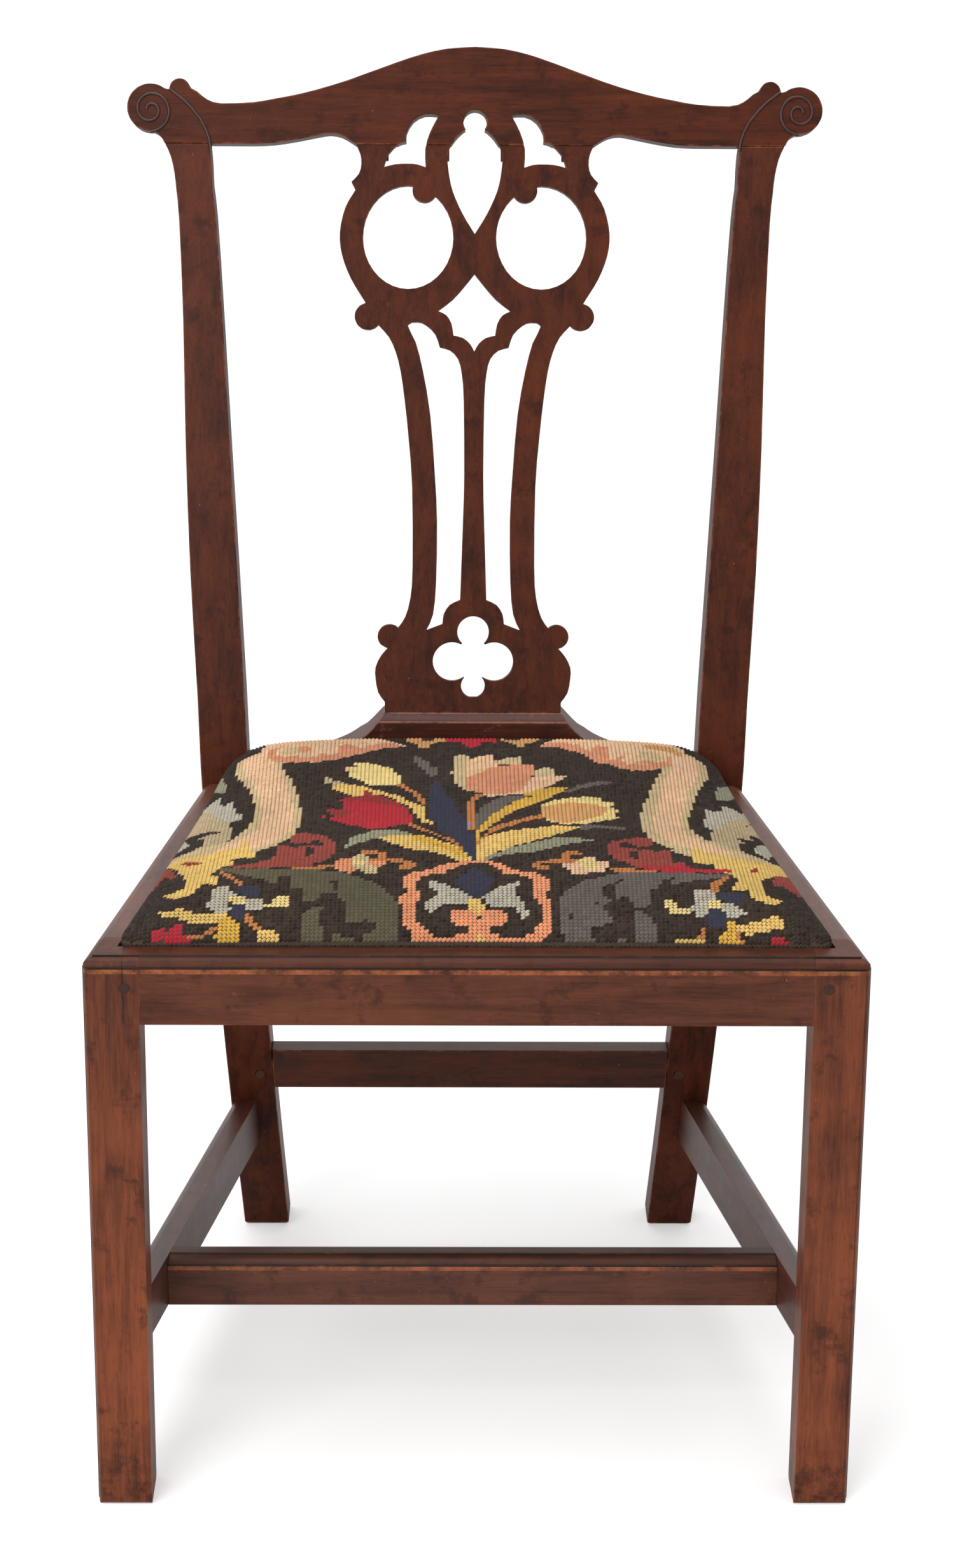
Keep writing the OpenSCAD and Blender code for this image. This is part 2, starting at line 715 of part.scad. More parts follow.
module front_block(side) {
    color(pine) placed() sided(side) difference() {
        translate([half_front, 0, block_z]) linear_extrude(block_h)
            polygon([[0, 0], [-front_block_reach, 0], [0, front_block_reach]]);
        translate([0, rail_t - reach, 0]) cube([reach, reach, seat_h]);
        translate([half_front - leg, leg - reach, 0]) cube([reach, reach, seat_h]);
        side_rail_room();
    }
}

module rear_block(side) {
    color(pine) placed() sided(side) difference() {
        translate([half_back, seat_d, block_z]) linear_extrude(block_h)
            polygon([[0, 0], [-rear_block_reach, 0], [0, -rear_block_reach]]);
        translate([-reach, seat_d - rear_ledge, 0]) cube([reach + inner_seat_x - flat_margin, reach, seat_h]);
        side_rail_room();
    }
}

// Lift-out seat. The cover is turned in under the frame and rests on the ledges.
rest_gap = 0.3;
soft_gap = 0.3;
hem_z = ledge_z + rest_gap;
frame_z = hem_z + cover_t + soft_gap;
frame_top = frame_z + frame_t;
frame_inset = seat_gap + cover_t + 2 * soft_gap;
front_corner_r = 9;
back_corner_r = 24;

function unit(v) = v / norm(v);
// Corners of an outline turned to arcs, so many steps to a corner, with points
// spread along the straight edges between them
function ring(inset, arc_steps, edge_points) =
    let (
        p = pocket(inset),
        r = [for (k = [front_corner_r, front_corner_r, back_corner_r, back_corner_r]) k - inset],
        arcs = [for (i = [0 : 3])
            let (
                a = unit(p[(i + 3) % 4] - p[i]),
                b = unit(p[(i + 1) % 4] - p[i]),
                half = acos(a * b) / 2,
                c = p[i] + unit(a + b) * r[i] / sin(half),
                s = p[i] + a * r[i] / tan(half) - c,
                from = atan2(s[1], s[0]),
                turn = 2 * (90 - half))
            [for (k = [0 : arc_steps])
                c + r[i] * [cos(from + turn * k / arc_steps), sin(from + turn * k / arc_steps)]]])
    [for (i = [0 : 3])
        each concat(arcs[i], [for (k = [1 : edge_points])
            lerp(arcs[i][arc_steps], arcs[(i + 1) % 4][0], k / (edge_points + 1))])];

seat_mid_y = (pocket_front + pocket_back) / 2;
seat_half_d = (pocket_back - pocket_front) / 2;
arc_steps = 4;
edge_points = 8;
ring_n = 4 * (arc_steps + 1 + edge_points);
crown_steps = 9;
edge_rise = 1;
edge_z = seat_h + edge_rise;
cloth_t = 0.7;
cloth_set = 2;
weave_gap = 0.1;
cloth_z = frame_top + 2 * (strap_t + weave_gap) + soft_gap;
stuffing_z = cloth_z + cloth_t + soft_gap;

function loop_at(pts, share, z) = [for (p = pts)
    [share * p[0], seat_mid_y + share * (p[1] - seat_mid_y), z]];
function flat_loop(inset, z) = loop_at(ring(inset + seat_gap, arc_steps, edge_points), 1, z);

// From the middle to a point of the outline the crown falls as an ellipse does at
// the front and sides. It stays full for longer towards the back, where it is also
// a little higher, and less so towards the back corners.
round_power = 2;
full_power = 16;
round_root = 0.5;
full_root = 0.25;
corner_loss_share = 0.65;
function back_share(y) = (y - seat_mid_y) / seat_half_d;
function fullness(p) = pow(max(0, back_share(p[1])), 2)
    * (1 - corner_loss_share * pow(abs(p[0]) / pocket_x(p[1], 0), 3));
function lift(y) = 1 + crown_lean_share * back_share(y);
function fall(p, height_share) =
    pow(1 - pow(height_share, 1 / lerp(round_root, full_root, fullness(p))),
        1 / lerp(round_power, full_power, fullness(p)));
function crown_rise(inset) = crown_h - edge_rise - inset;
// The stuffing starts on the base cloth, at this angle down the crown
function rim_angle(p) = acos((stuffing_z - edge_z) / (crown_rise(cover_t + soft_gap) * lift(p[1])));
// Rings of the crown from near its top down to the rim
function crown(inset) = [for (k = [1 : crown_steps])
    [for (p = ring(inset + seat_gap, arc_steps, edge_points))
        let (
            height_share = cos(rim_angle(p) * k / crown_steps),
            s = fall(p, height_share),
            y = seat_mid_y + s * (p[1] - seat_mid_y))
        [s * p[0], y, edge_z + crown_rise(inset) * lift(y) * height_share]]];
function peak(inset) = [0, seat_mid_y, edge_z + crown_rise(inset)];

// Closed skin over a stack of loops with a point at each end. Its quads are cut
// along mirrored diagonals on the left and right, and the loops from turn on, which
// run back inside the first ones, are cut as those are, so that both walls match.
module skin(first, loops, last, turn) {
    n = ring_n;
    count = len(loops);
    points = concat([first], [for (l = loops) each l], [last]);
    end = len(points) - 1;
    polyhedron(points, concat(
        [for (i = [0 : n - 1]) [0, 1 + (i + 1) % n, 1 + i]],
        [for (j = [0 : count - 2]) for (i = [0 : n - 1])
            let (
                a = 1 + j * n + i,
                b = 1 + j * n + (i + 1) % n,
                left = points[a][0] + points[b][0] < 0)
            each left == (j >= turn)
                ? [[a, b, b + n], [a, b + n, a + n]]
                : [[a, b, a + n], [b, b + n, a + n]]],
        [for (i = [0 : n - 1])
            let (a = 1 + (count - 1) * n + i, b = 1 + (count - 1) * n + (i + 1) % n)
            [a, b, end]]));
}

module needlework_cover() {
    down = crown(0);
    color(wool) placed() skin(peak(0), concat(
        down,
        [flat_loop(0, edge_z), flat_loop(0, hem_z), flat_loop(hem_w, hem_z),
            flat_loop(hem_w, hem_z + cover_t), flat_loop(cover_t, hem_z + cover_t),
            flat_loop(cover_t, edge_z)],
        reversed(crown(cover_t))), peak(cover_t), len(down) + 2);
}

module stuffing() {
    color(horsehair) placed() skin(peak(cover_t + soft_gap), crown(cover_t + soft_gap),
        [0, seat_mid_y, stuffing_z], ring_n);
}

module plan(inset) {
    polygon(ring(inset, arc_steps, 0));
}

// Wooden seat frame, half-lapped at the corners
lap_z = frame_z + frame_t / 2;
module frame_plate(z, h) {
    translate([0, 0, z]) linear_extrude(h) plan(frame_inset);
}

module front_strip(z, h) {
    translate([-reach / 2, pocket_front, z]) cube([reach, frame_w, h]);
}

module back_strip(z, h) {
    translate([-reach / 2, pocket_back - frame_w, z]) cube([reach, frame_w, h]);
}

module side_strip(z, h) {
    translate([0, 0, z - seat_h]) on_side_rail()
        translate([-side_top_w - frame_w, -reach / 2, 0]) cube([reach, reach, h]);
}

module cross_member(front) {
    color(pine) placed() difference() {
        intersection() {
            frame_plate(frame_z, frame_t);
            if (front) front_strip(frame_z, frame_t);
            else back_strip(frame_z, frame_t);
        }
        paired() side_strip(lap_z, frame_t);
        all_tacks(joint_fit);
    }
}

module side_member(side) {
    color(pine) placed() difference() {
        intersection() {
            frame_plate(frame_z, frame_t);
            sided(side) side_strip(frame_z, frame_t);
        }
        front_strip(frame_z - frame_t, frame_t + frame_t / 2);
        back_strip(frame_z - frame_t, frame_t + frame_t / 2);
        all_tacks(joint_fit);
    }
}

// Webbing: three straps each way, the lengthwise ones woven over and under
straps_each_way = 3;
strap_set = 14;
weave_margin = 2;
pocket_d = pocket_back - pocket_front;
function cross_y(i) = pocket_front + frame_w + (pocket_d - 2 * frame_w) * (i + 0.5) / straps_each_way;
function long_x(i) = (i - (straps_each_way - 1) / 2) * 2 * pocket_x(pocket_back, frame_w) / straps_each_way;

module crosswise_webbing() {
    color(jute) placed() difference() {
        intersection() {
            for (i = [0 : straps_each_way - 1])
                translate([-reach / 2, cross_y(i) - strap_w / 2, frame_top]) cube([reach, strap_w, strap_t]);
            translate([0, 0, frame_z]) linear_extrude(frame_t + 2 * strap_t) plan(strap_set);
        }
        webbing_tack_set(joint_fit);
    }
}

// Underside of a lengthwise strap: it starts on the frame and passes over or
// under each crosswise strap in turn
function weave_line(i) = concat(
    [[pocket_front + strap_set, frame_top], [pocket_front + frame_w + soft_gap, frame_top]],
    [for (j = [0 : straps_each_way - 1])
        let (
            above = (i + j) % 2 == 0,
            z = above ? frame_top + strap_t + weave_gap : frame_top - strap_t - weave_gap,
            half = strap_w / 2 + weave_margin)
        each [[cross_y(j) - half, z], [cross_y(j) + half, z]]],
    [[pocket_back - frame_w - soft_gap, frame_top], [pocket_back - strap_set, frame_top]]);

module lengthwise_webbing() {
    color(jute) placed() difference() {
        for (i = [0 : straps_each_way - 1])
            translate([long_x(i) - strap_w / 2, 0, 0]) rotate([90, 0, 90]) linear_extrude(strap_w)
                polygon(concat(weave_line(i),
                    [for (p = reversed(weave_line(i))) [p[0], p[1] + strap_t]]));
        webbing_tack_set(joint_fit);
    }
}

module base_cloth() {
    color(linen) placed() translate([0, 0, cloth_z]) linear_extrude(cloth_t) plan(frame_inset + cloth_set);
}

// Tacks: two in each end of a strap, and a row along each edge of the hem
tack_d = 1.8;
tack_l = 8;
tack_head_t = 0.8;
tacks_per_edge = 5;
webbing_tack_set_in = 28;
webbing_tack_spots = [
    for (i = [0 : straps_each_way - 1]) for (s = [-1, 1]) for (t = [-1, 1])
        each [
            [s * pocket_x(cross_y(i), webbing_tack_set_in), cross_y(i) + t * strap_w / 4],
            [long_x(i) + t * strap_w / 4, s < 0 ? pocket_front + webbing_tack_set_in
                : pocket_back - webbing_tack_set_in]]];
hem_line = pocket(seat_gap + hem_w + tack_d);
cover_tack_spots = [
    for (i = [0 : 3]) for (k = [1 : tacks_per_edge])
        lerp(hem_line[i], hem_line[(i + 1) % 4], k / (tacks_per_edge + 1))];

module tack(grow) {
    translate([0, 0, -tack_l - grow]) cylinder(d = tack_d + 2 * grow, h = tack_l + grow + tack_head_t / 2);
    cylinder(d = tack_head_d, h = tack_head_t);
}

module webbing_tack_set(grow) {
    for (p = webbing_tack_spots)
        translate([p[0], p[1], frame_top + strap_t]) tack(grow);
}

module cover_tack_set(grow) {
    for (p = cover_tack_spots)
        translate([p[0], p[1], hem_z]) rotate([180, 0, 0]) tack(grow);
}

module all_tacks(grow) {
    webbing_tack_set(grow);
    cover_tack_set(grow);
}

module webbing_tacks() {
    color(iron) placed() webbing_tack_set(0);
}

module cover_tacks() {
    color(iron) placed() cover_tack_set(0);
}

module front_rail_pegs() {
    color(oak_peg) placed() front_pegs(0);
}

module side_rail_pegs() {
    color(oak_peg) placed() side_pegs(0);
}

module rear_stretcher_pegs() {
    color(oak_peg) placed() rear_pegs(0);
}

front_leg(-1);  // front_leg_left
front_leg(1);  // front_leg_right
rear_post(-1);  // rear_post_left
rear_post(1);  // rear_post_right
front_seat_rail();
side_seat_rail(-1);  // side_seat_rail_left
side_seat_rail(1);  // side_seat_rail_right
rear_seat_rail();
shoe();
splat();
crest_rail();
side_stretcher(-1);  // side_stretcher_left
side_stretcher(1);  // side_stretcher_right
medial_stretcher();
rear_stretcher();
front_block(-1);  // front_block_left
front_block(1);  // front_block_right
rear_block(-1);  // rear_block_left
rear_block(1);  // rear_block_right
front_rail_pegs();
side_rail_pegs();
rear_stretcher_pegs();
cross_member(true);  // seat_frame_front
cross_member(false);  // seat_frame_back
side_member(-1);  // seat_frame_left
side_member(1);  // seat_frame_right
crosswise_webbing();
lengthwise_webbing();
webbing_tacks();
base_cloth();
stuffing();
needlework_cover();
cover_tacks();
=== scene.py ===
import bmesh
import bpy
import math
import numpy as np
from mathutils import Matrix, Vector


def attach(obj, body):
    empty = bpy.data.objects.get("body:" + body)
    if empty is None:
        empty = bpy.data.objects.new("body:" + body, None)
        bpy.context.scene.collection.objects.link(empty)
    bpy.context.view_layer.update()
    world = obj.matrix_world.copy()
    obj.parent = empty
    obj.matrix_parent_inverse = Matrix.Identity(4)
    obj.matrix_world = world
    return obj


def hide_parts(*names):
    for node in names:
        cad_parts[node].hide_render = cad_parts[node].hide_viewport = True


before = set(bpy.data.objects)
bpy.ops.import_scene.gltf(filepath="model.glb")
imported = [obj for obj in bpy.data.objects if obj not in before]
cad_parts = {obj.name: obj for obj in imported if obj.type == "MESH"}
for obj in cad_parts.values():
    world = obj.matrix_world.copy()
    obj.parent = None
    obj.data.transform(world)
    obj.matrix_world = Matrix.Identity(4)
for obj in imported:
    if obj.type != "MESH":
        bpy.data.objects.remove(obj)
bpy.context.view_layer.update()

# The setting: a white paper floor that runs on into a white ground, one large soft
# lamp overhead, another farther off in front, and the camera that took the picture.
CAMERA_PLACE = (-0.030, -2.45277, 1.2965)
CAMERA_YAW, CAMERA_PITCH, CAMERA_ROLL = 0.796, -18.815, 0.442
CAMERA_LENS = 79.3
LAMPS = {"top_lamp": {"size": 2.4, "place": (-0.3, -0.5, 2.9), "power": 42.0},
         "front_lamp": {"size": 2.0, "place": (-1.6, -3.2, 1.9), "power": 60.0}}
LIT_POINT = (0, 0, 0.45)
WHITE = (1, 1, 1, 1)
GROUND_LIGHT, GROUND_SEEN = 0.55, 1.0
FLOOR_REACH = 20.0
PAPER = {"Base Color": (0.93, 0.93, 0.93, 1), "Roughness": 0.9, "Specular IOR Level": 0.1,
         "Emission Color": WHITE}
NEAR_LIFT, FAR_LIFT = 0.36, 0.62
LIFT_FROM, LIFT_TO = 1.0, 4.0


def placed(name, data):
    """A new object in the scene"""
    made = bpy.data.objects.new(name, data)
    bpy.context.scene.collection.objects.link(made)
    return made


def aim(yaw, pitch, roll):
    """Axes of a camera that looks along +Y turned by yaw, pitch and roll"""
    yaw, pitch, roll = (math.radians(a) for a in (yaw, pitch, roll))
    ahead = Vector((math.sin(yaw) * math.cos(pitch), math.cos(yaw) * math.cos(pitch), math.sin(pitch)))
    right = Vector((math.cos(yaw), -math.sin(yaw), 0.0))
    up = right.cross(ahead)
    across = right * math.cos(roll) + up * math.sin(roll)
    upright = up * math.cos(roll) - right * math.sin(roll)
    return Matrix((across, upright, -ahead)).transposed()


def node_in(tree, kind, inputs=(), **settings):
    """A new node, with its settings, and each input set to a value or fed by an output"""
    made = tree.nodes.new(kind)
    for name, value in settings.items():
        setattr(made, name, value)
    for socket, value in dict(inputs).items():
        if isinstance(value, bpy.types.NodeSocket):
            tree.links.new(value, made.inputs[socket])
        else:
            made.inputs[socket].default_value = value
    return made


def maths(tree, operation, *values):
    """The result of one sum on values or outputs"""
    return node_in(tree, "ShaderNodeMath", enumerate(values), operation=operation).outputs[0]


def window(tree, value, low, high, full=1.0, empty=0.0):
    """From empty where the value is low to full where it is high, and level beyond"""
    ends = {"From Min": low, "From Max": high, "To Min": empty, "To Max": full}
    return node_in(tree, "ShaderNodeMapRange", {"Value": value, **ends}).outputs["Result"]


def material_with(name, finish):
    """A material with its shader's own values set, its tree, and the place of each point"""
    material = bpy.data.materials.new(name)
    material.use_nodes = True
    tree = material.node_tree
    for socket, value in finish.items():
        tree.nodes["Principled BSDF"].inputs[socket].default_value = value
    return material, tree, node_in(tree, "ShaderNodeTexCoord").outputs["Object"]


def feed(tree, socket, output):
    """Join an output to an input of the material's shader"""
    tree.links.new(output, tree.nodes["Principled BSDF"].inputs[socket])


camera_data = bpy.data.cameras.new("camera")
camera_data.lens = CAMERA_LENS
camera = placed("camera", camera_data)
camera.matrix_world = Matrix.Translation(CAMERA_PLACE) @ aim(CAMERA_YAW, CAMERA_PITCH, CAMERA_ROLL).to_4x4()
bpy.context.scene.camera = camera
bpy.context.scene.view_settings.view_transform = "Standard"

for name, lamp in LAMPS.items():
    light = bpy.data.lights.new(name, "AREA")
    light.size = lamp["size"]
    light.energy = lamp["power"]
    hung = placed(name, light)
    hung.location = lamp["place"]
    hung.rotation_euler = (Vector(LIT_POINT) - Vector(lamp["place"])).to_track_quat("-Z", "Y").to_euler()

world = bpy.data.worlds.new("studio")
bpy.context.scene.world = world
world.use_nodes = True
ground = world.node_tree
ground.nodes.clear()
seen = node_in(ground, "ShaderNodeLightPath").outputs
in_view = maths(ground, "MAXIMUM", seen["Is Camera Ray"], seen["Is Glossy Ray"])
level = node_in(ground, "ShaderNodeMix", {"Factor": in_view, "A": GROUND_LIGHT, "B": GROUND_SEEN})
glow = node_in(ground, "ShaderNodeBackground", {"Color": WHITE, "Strength": level.outputs["Result"]})
node_in(ground, "ShaderNodeOutputWorld", {"Surface": glow.outputs[0]})

paper, tree, where = material_with("white_paper", PAPER)
reach = node_in(tree, "ShaderNodeVectorMath", {0: where}, operation="LENGTH").outputs["Value"]
lifted = window(tree, reach, LIFT_FROM, LIFT_TO, FAR_LIFT, NEAR_LIFT)
seen = node_in(tree, "ShaderNodeLightPath").outputs["Is Camera Ray"]
feed(tree, "Emission Strength", maths(tree, "MULTIPLY", seen, lifted))
floor_mesh = bpy.data.meshes.new("floor")
floor_corners = [(x * FLOOR_REACH, y * FLOOR_REACH, 0) for x, y in ((-1, -1), (1, -1), (1, 1), (-1, 1))]
floor_mesh.from_pydata(floor_corners, [], [(0, 1, 2, 3)])
floor_mesh.materials.append(paper)
placed("floor", floor_mesh)

# The front legs: square mahogany, with a moulding that runs on from the rails round
# their tops. Age, old polish and dirt have darkened them, their edges are rubbed
# round and paler, and the left one has a drying crack through its peg.
LEG_TONES = {"base": (0.215, 0.053, 0.018), "dark": (0.040, 0.010, 0.005), "worn": (0.38, 0.125, 0.042)}
DRAWN_OUT = 0.07
NOISES = {
    "figure": {"Scale": 95, "Detail": 6, "Roughness": 0.62, "Distortion": 0.6},
    "streaks": {"Scale": 460, "Detail": 5, "Roughness": 0.7},
    "pores": {"Scale": 1300, "Detail": 2, "Roughness": 0.5},
    "clouds": {"Scale": 13, "Detail": 4, "Roughness": 0.6},
    "smudges": {"Scale": 48, "Detail": 7, "Roughness": 0.66},
    "rubs": {"Scale": 62, "Detail": 9, "Roughness": 0.78},
    "knocks": {"Scale": 210, "Detail": 3, "Roughness": 0.6},
}
ALONG_THE_GRAIN = ("figure", "streaks", "pores")
FIGURE_SPAN, FIGURE_PART = (0.36, 0.60), 0.62
STREAK_SPAN, STREAK_PART = (0.36, 0.64), 0.38
# What lies over the grain: a noise, where it starts and is full, how much it then
# covers, and its tone with how bright that is
LAYERS = (("clouds", 0.46, 0.66, 0.4, "base", 1.35),
          ("smudges", 0.55, 0.66, 0.72, "dark", 1.0),
          ("pores", 0.60, 0.72, 0.55, "dark", 0.45),
          ("rubs", 0.66, 0.79, 0.7, "worn", 1.0),
          ("knocks", 0.735, 0.76, 0.75, "worn", 1.0))
# A leg is darker above and scuffed at its foot. Shade is painted dark into the hollows and
# into the two fine grooves of a moulding, whose top is darker and whose lower edge is rubbed
UPPER_SPAN, UPPER_COVER = (0.12, 0.42), 0.3
SCUFF_SPAN, SCUFF_BRIGHTNESS = (0.44, 0.62), 0.5
PAINTED_SHADE, SHADE_COVER, SHADE_REACH, SHADE_RAYS = (0.016, 0.010, 0.008), 0.9, 0.003, 6
HOLLOW, OPEN = 0.50, 0.92
MOULDING_COVER, QUIRK_REACH, QUIRK_SPAN = 0.45, 0.0008, (0.30, 0.45)
RUBBED_BELOW, RUBBED_REACH, RUBBED_SPAN = 0.0022, 0.0018, (0.40, 0.62)
SMOOTHER, ROUGHER = 0.07, 0.14
RELIEF, RELIEF_BUMPS = {"streaks": 0.5, "smudges": 1.0, "pores": 0.3}, (0.3, 0.0005)
WELD, SHORT_EDGE, FLAT_WITHIN = 5e-5, 0.0003, math.radians(0.5)
EDGE_ROUND, SHARP_FROM, EDGE_WEAR = 0.0009, math.radians(30), 0.18
SEAT_QUIRKS = (0.4156, -0.2542)
CRACK_PLACE, CRACK_HALF_WIDTH, CRACK_FOOT = -0.2405, 0.00035, (0.374, 0.376)
CRACK_NOISE, CRACK_BEND = {"Scale": 90, "Detail": 3, "Roughness": 0.6}, 0.004
CRACK_DARK = (0.007, 0.005, 0.004)


def noise(tree, where, sizes):
    """Fractal noise over the piece"""
    return node_in(tree, "ShaderNodeTexNoise", {"Vector": where, **sizes}).outputs[0]


def blended(tree, share, first, second, way="MIX"):
    """A colour between two others, or one laid over the other"""
    share_socket, first_socket, second_socket, colour_output = 0, 6, 7, 2
    first, second = ((*c, 1) if isinstance(c, tuple) else c for c in (first, second))
    mixed = node_in(tree, "ShaderNodeMix", {share_socket: share, first_socket: first, second_socket: second},
                    data_type="RGBA", blend_type=way)
    return mixed.outputs[colour_output]


def bumped(tree, height, strength, distance):
    """Small bumps on the face of a material"""
    bump = node_in(tree, "ShaderNodeBump", {"Strength": strength, "Distance": distance, "Height": height})
    feed(tree, "Normal", bump.outputs[0])


def timber(name, along, tones, wear=0.0, foot=0.0, gloss=0.26, quirks=None, roughness=0.36):
    """Polished timber with its grain along X, Y or Z and painted shade in its hollows; wear is how much of it
    is rubbed, foot how far up it is scuffed, and quirks are the height and depth of the two fine grooves of
    its moulding, painted dark as shade too"""
    material, tree, where = material_with(name, {"Specular IOR Level": gloss})
    apart = node_in(tree, "ShaderNodeSeparateXYZ", {0: where}).outputs
    depth, height = apart["Y"], apart["Z"]
    stretch = [DRAWN_OUT if axis == along else 1.0 for axis in "XYZ"]
    drawn = node_in(tree, "ShaderNodeMapping", {"Vector": where, "Scale": stretch}).outputs[0]
    marks = {kind: noise(tree, drawn if kind in ALONG_THE_GRAIN else where, sizes)
             for kind, sizes in NOISES.items()}
    grain = maths(tree, "ADD", window(tree, marks["figure"], *FIGURE_SPAN, FIGURE_PART),
                  window(tree, marks["streaks"], *STREAK_SPAN, STREAK_PART))
    colour = blended(tree, grain, tones["dark"], tones["base"])
    for kind, low, high, cover, tone, brightness in LAYERS:
        sooner = wear if kind == "rubs" else 0.0
        colour = blended(tree, window(tree, marks[kind], low - sooner, high - sooner, cover), colour,
                         tuple(brightness * part for part in tones[tone]))
    if foot:
        colour = blended(tree, window(tree, height, *UPPER_SPAN, UPPER_COVER), colour, tones["dark"])
        scuffed = maths(tree, "MULTIPLY", window(tree, height, 0.0, foot, 0.0, 1.0),
                        window(tree, marks["rubs"], *SCUFF_SPAN))
        colour = blended(tree, scuffed, colour, tuple(SCUFF_BRIGHTNESS * part for part in tones["dark"]))
    # Painted shade: darker where the piece's own hollows close round a point
    hollows = node_in(tree, "ShaderNodeAmbientOcclusion", {"Distance": SHADE_REACH}, only_local=True,
                      samples=SHADE_RAYS)
    shade_mask = window(tree, hollows.outputs["AO"], HOLLOW, OPEN, 0.0, 1.0)
    if quirks:
        low_quirk, back_quirk = quirks
        above = maths(tree, "GREATER_THAN", height, low_quirk)
        colour = blended(tree, maths(tree, "MULTIPLY", above, MOULDING_COVER), colour, tones["dark"])
        below = maths(tree, "COMPARE", height, low_quirk - RUBBED_BELOW, RUBBED_REACH)
        rubbed = maths(tree, "MULTIPLY", below, window(tree, marks["rubs"], *RUBBED_SPAN))
        colour = blended(tree, rubbed, colour, tones["worn"])
        # Painted shade along the two grooves of the moulding, broken by the smudges
        behind = maths(tree, "MULTIPLY", maths(tree, "COMPARE", depth, back_quirk, QUIRK_REACH), above)
        grooves = maths(tree, "MAXIMUM", maths(tree, "COMPARE", height, low_quirk, QUIRK_REACH), behind)
        groove_shade = maths(tree, "MULTIPLY", grooves, window(tree, marks["smudges"], *QUIRK_SPAN))
        shade_mask = maths(tree, "MAXIMUM", shade_mask, groove_shade)
    feed(tree, "Base Color", blended(tree, maths(tree, "MULTIPLY", shade_mask, SHADE_COVER), colour, PAINTED_SHADE))
    feed(tree, "Roughness", window(tree, marks["rubs"], 0.0, 1.0, roughness + ROUGHER, roughness - SMOOTHER))
    streaks, smudges, pores = (maths(tree, "MULTIPLY", marks[kind], share) for kind, share in RELIEF.items())
    bumped(tree, maths(tree, "ADD", streaks, maths(tree, "ADD", smudges, pores)), *RELIEF_BUMPS)
    return material


def wood_pair(name, along, tones, wear, **finish):
    """Timber for the faces of a member, and the same timber rubbed along its edges"""
    return [timber(name, along, tones, wear, **finish),
            timber(name + "_edge", along, tones, wear + EDGE_WEAR, **finish)]


def joined(node, name, materials, whole=False):
    """A copy of a solid with its faces joined, and its flat faces made whole"""
    shape = bmesh.new()
    shape.from_mesh(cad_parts[node].data)
    bmesh.ops.remove_doubles(shape, verts=shape.verts, dist=WELD)
    if whole:
        bmesh.ops.dissolve_degenerate(shape, dist=SHORT_EDGE, edges=shape.edges)
        bmesh.ops.dissolve_limit(shape, angle_limit=FLAT_WITHIN, verts=shape.verts, edges=shape.edges)
    mesh = bpy.data.meshes.new(name)
    shape.to_mesh(mesh)
    shape.free()
    for material in materials:
        mesh.materials.append(material)
    for polygon in mesh.polygons:
        polygon.material_index = 0
    return placed(name, mesh)


def stands_for(made, node, body):
    """The piece rides on its body in place of its solid"""
    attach(made, body)
    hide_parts(node)


def in_wood(node, woods, round_by=EDGE_ROUND, crowded=False):
    """A member of the chair, with its edges rubbed round"""
    made = joined(node, node + "_wood", woods, whole=True)
    made.data.shade_smooth()
    rounding = made.modifiers.new("rounding", "BEVEL")
    rounding.width = round_by
    rounding.segments = 2
    rounding.limit_method = "ANGLE"
    rounding.angle_limit = SHARP_FROM
    rounding.use_clamp_overlap = crowded
    rounding.material = 1
    made.modifiers.new("flat_faces", "WEIGHTED_NORMAL").weight = 100
    stands_for(made, node, "chair_frame")


def cracked(material):
    """A drying crack that runs from the top of a leg through its peg and dies out below"""
    tree = material.node_tree
    where = node_in(tree, "ShaderNodeTexCoord").outputs["Object"]
    apart = node_in(tree, "ShaderNodeSeparateXYZ", {0: where}).outputs
    bend = maths(tree, "MULTIPLY", noise(tree, where, CRACK_NOISE), CRACK_BEND)
    line = maths(tree, "COMPARE", maths(tree, "ADD", apart["X"], bend), CRACK_PLACE, CRACK_HALF_WIDTH)
    opened = maths(tree, "MULTIPLY", line, window(tree, apart["Z"], *CRACK_FOOT))
    colour = tree.nodes["Principled BSDF"].inputs["Base Color"].links[0].from_socket
    feed(tree, "Base Color", blended(tree, opened, colour, CRACK_DARK))


for side in ("left", "right"):
    leg_woods = wood_pair("leg_" + side, "Z", LEG_TONES, wear=0.03, foot=0.06, gloss=0.2, quirks=SEAT_QUIRKS)
    in_wood("front_leg_" + side, leg_woods, crowded=True)
    if side == "left":
        for leg_wood in leg_woods:
            cracked(leg_wood)

# The rear posts: leg and upright sawn in one piece from a plank, raked back above
# the seat and below it. They stand in less light than the legs, and their tones are painted darker for that
# shade.
SHADED_BACK_TONES = {"base": (0.086, 0.019, 0.007), "dark": (0.024, 0.007, 0.004), "worn": (0.26, 0.075, 0.034)}
post_woods = wood_pair("post", "Z", SHADED_BACK_TONES, wear=0.02, gloss=0.12)
for side in ("left", "right"):
    in_wood("rear_post_" + side, post_woods)

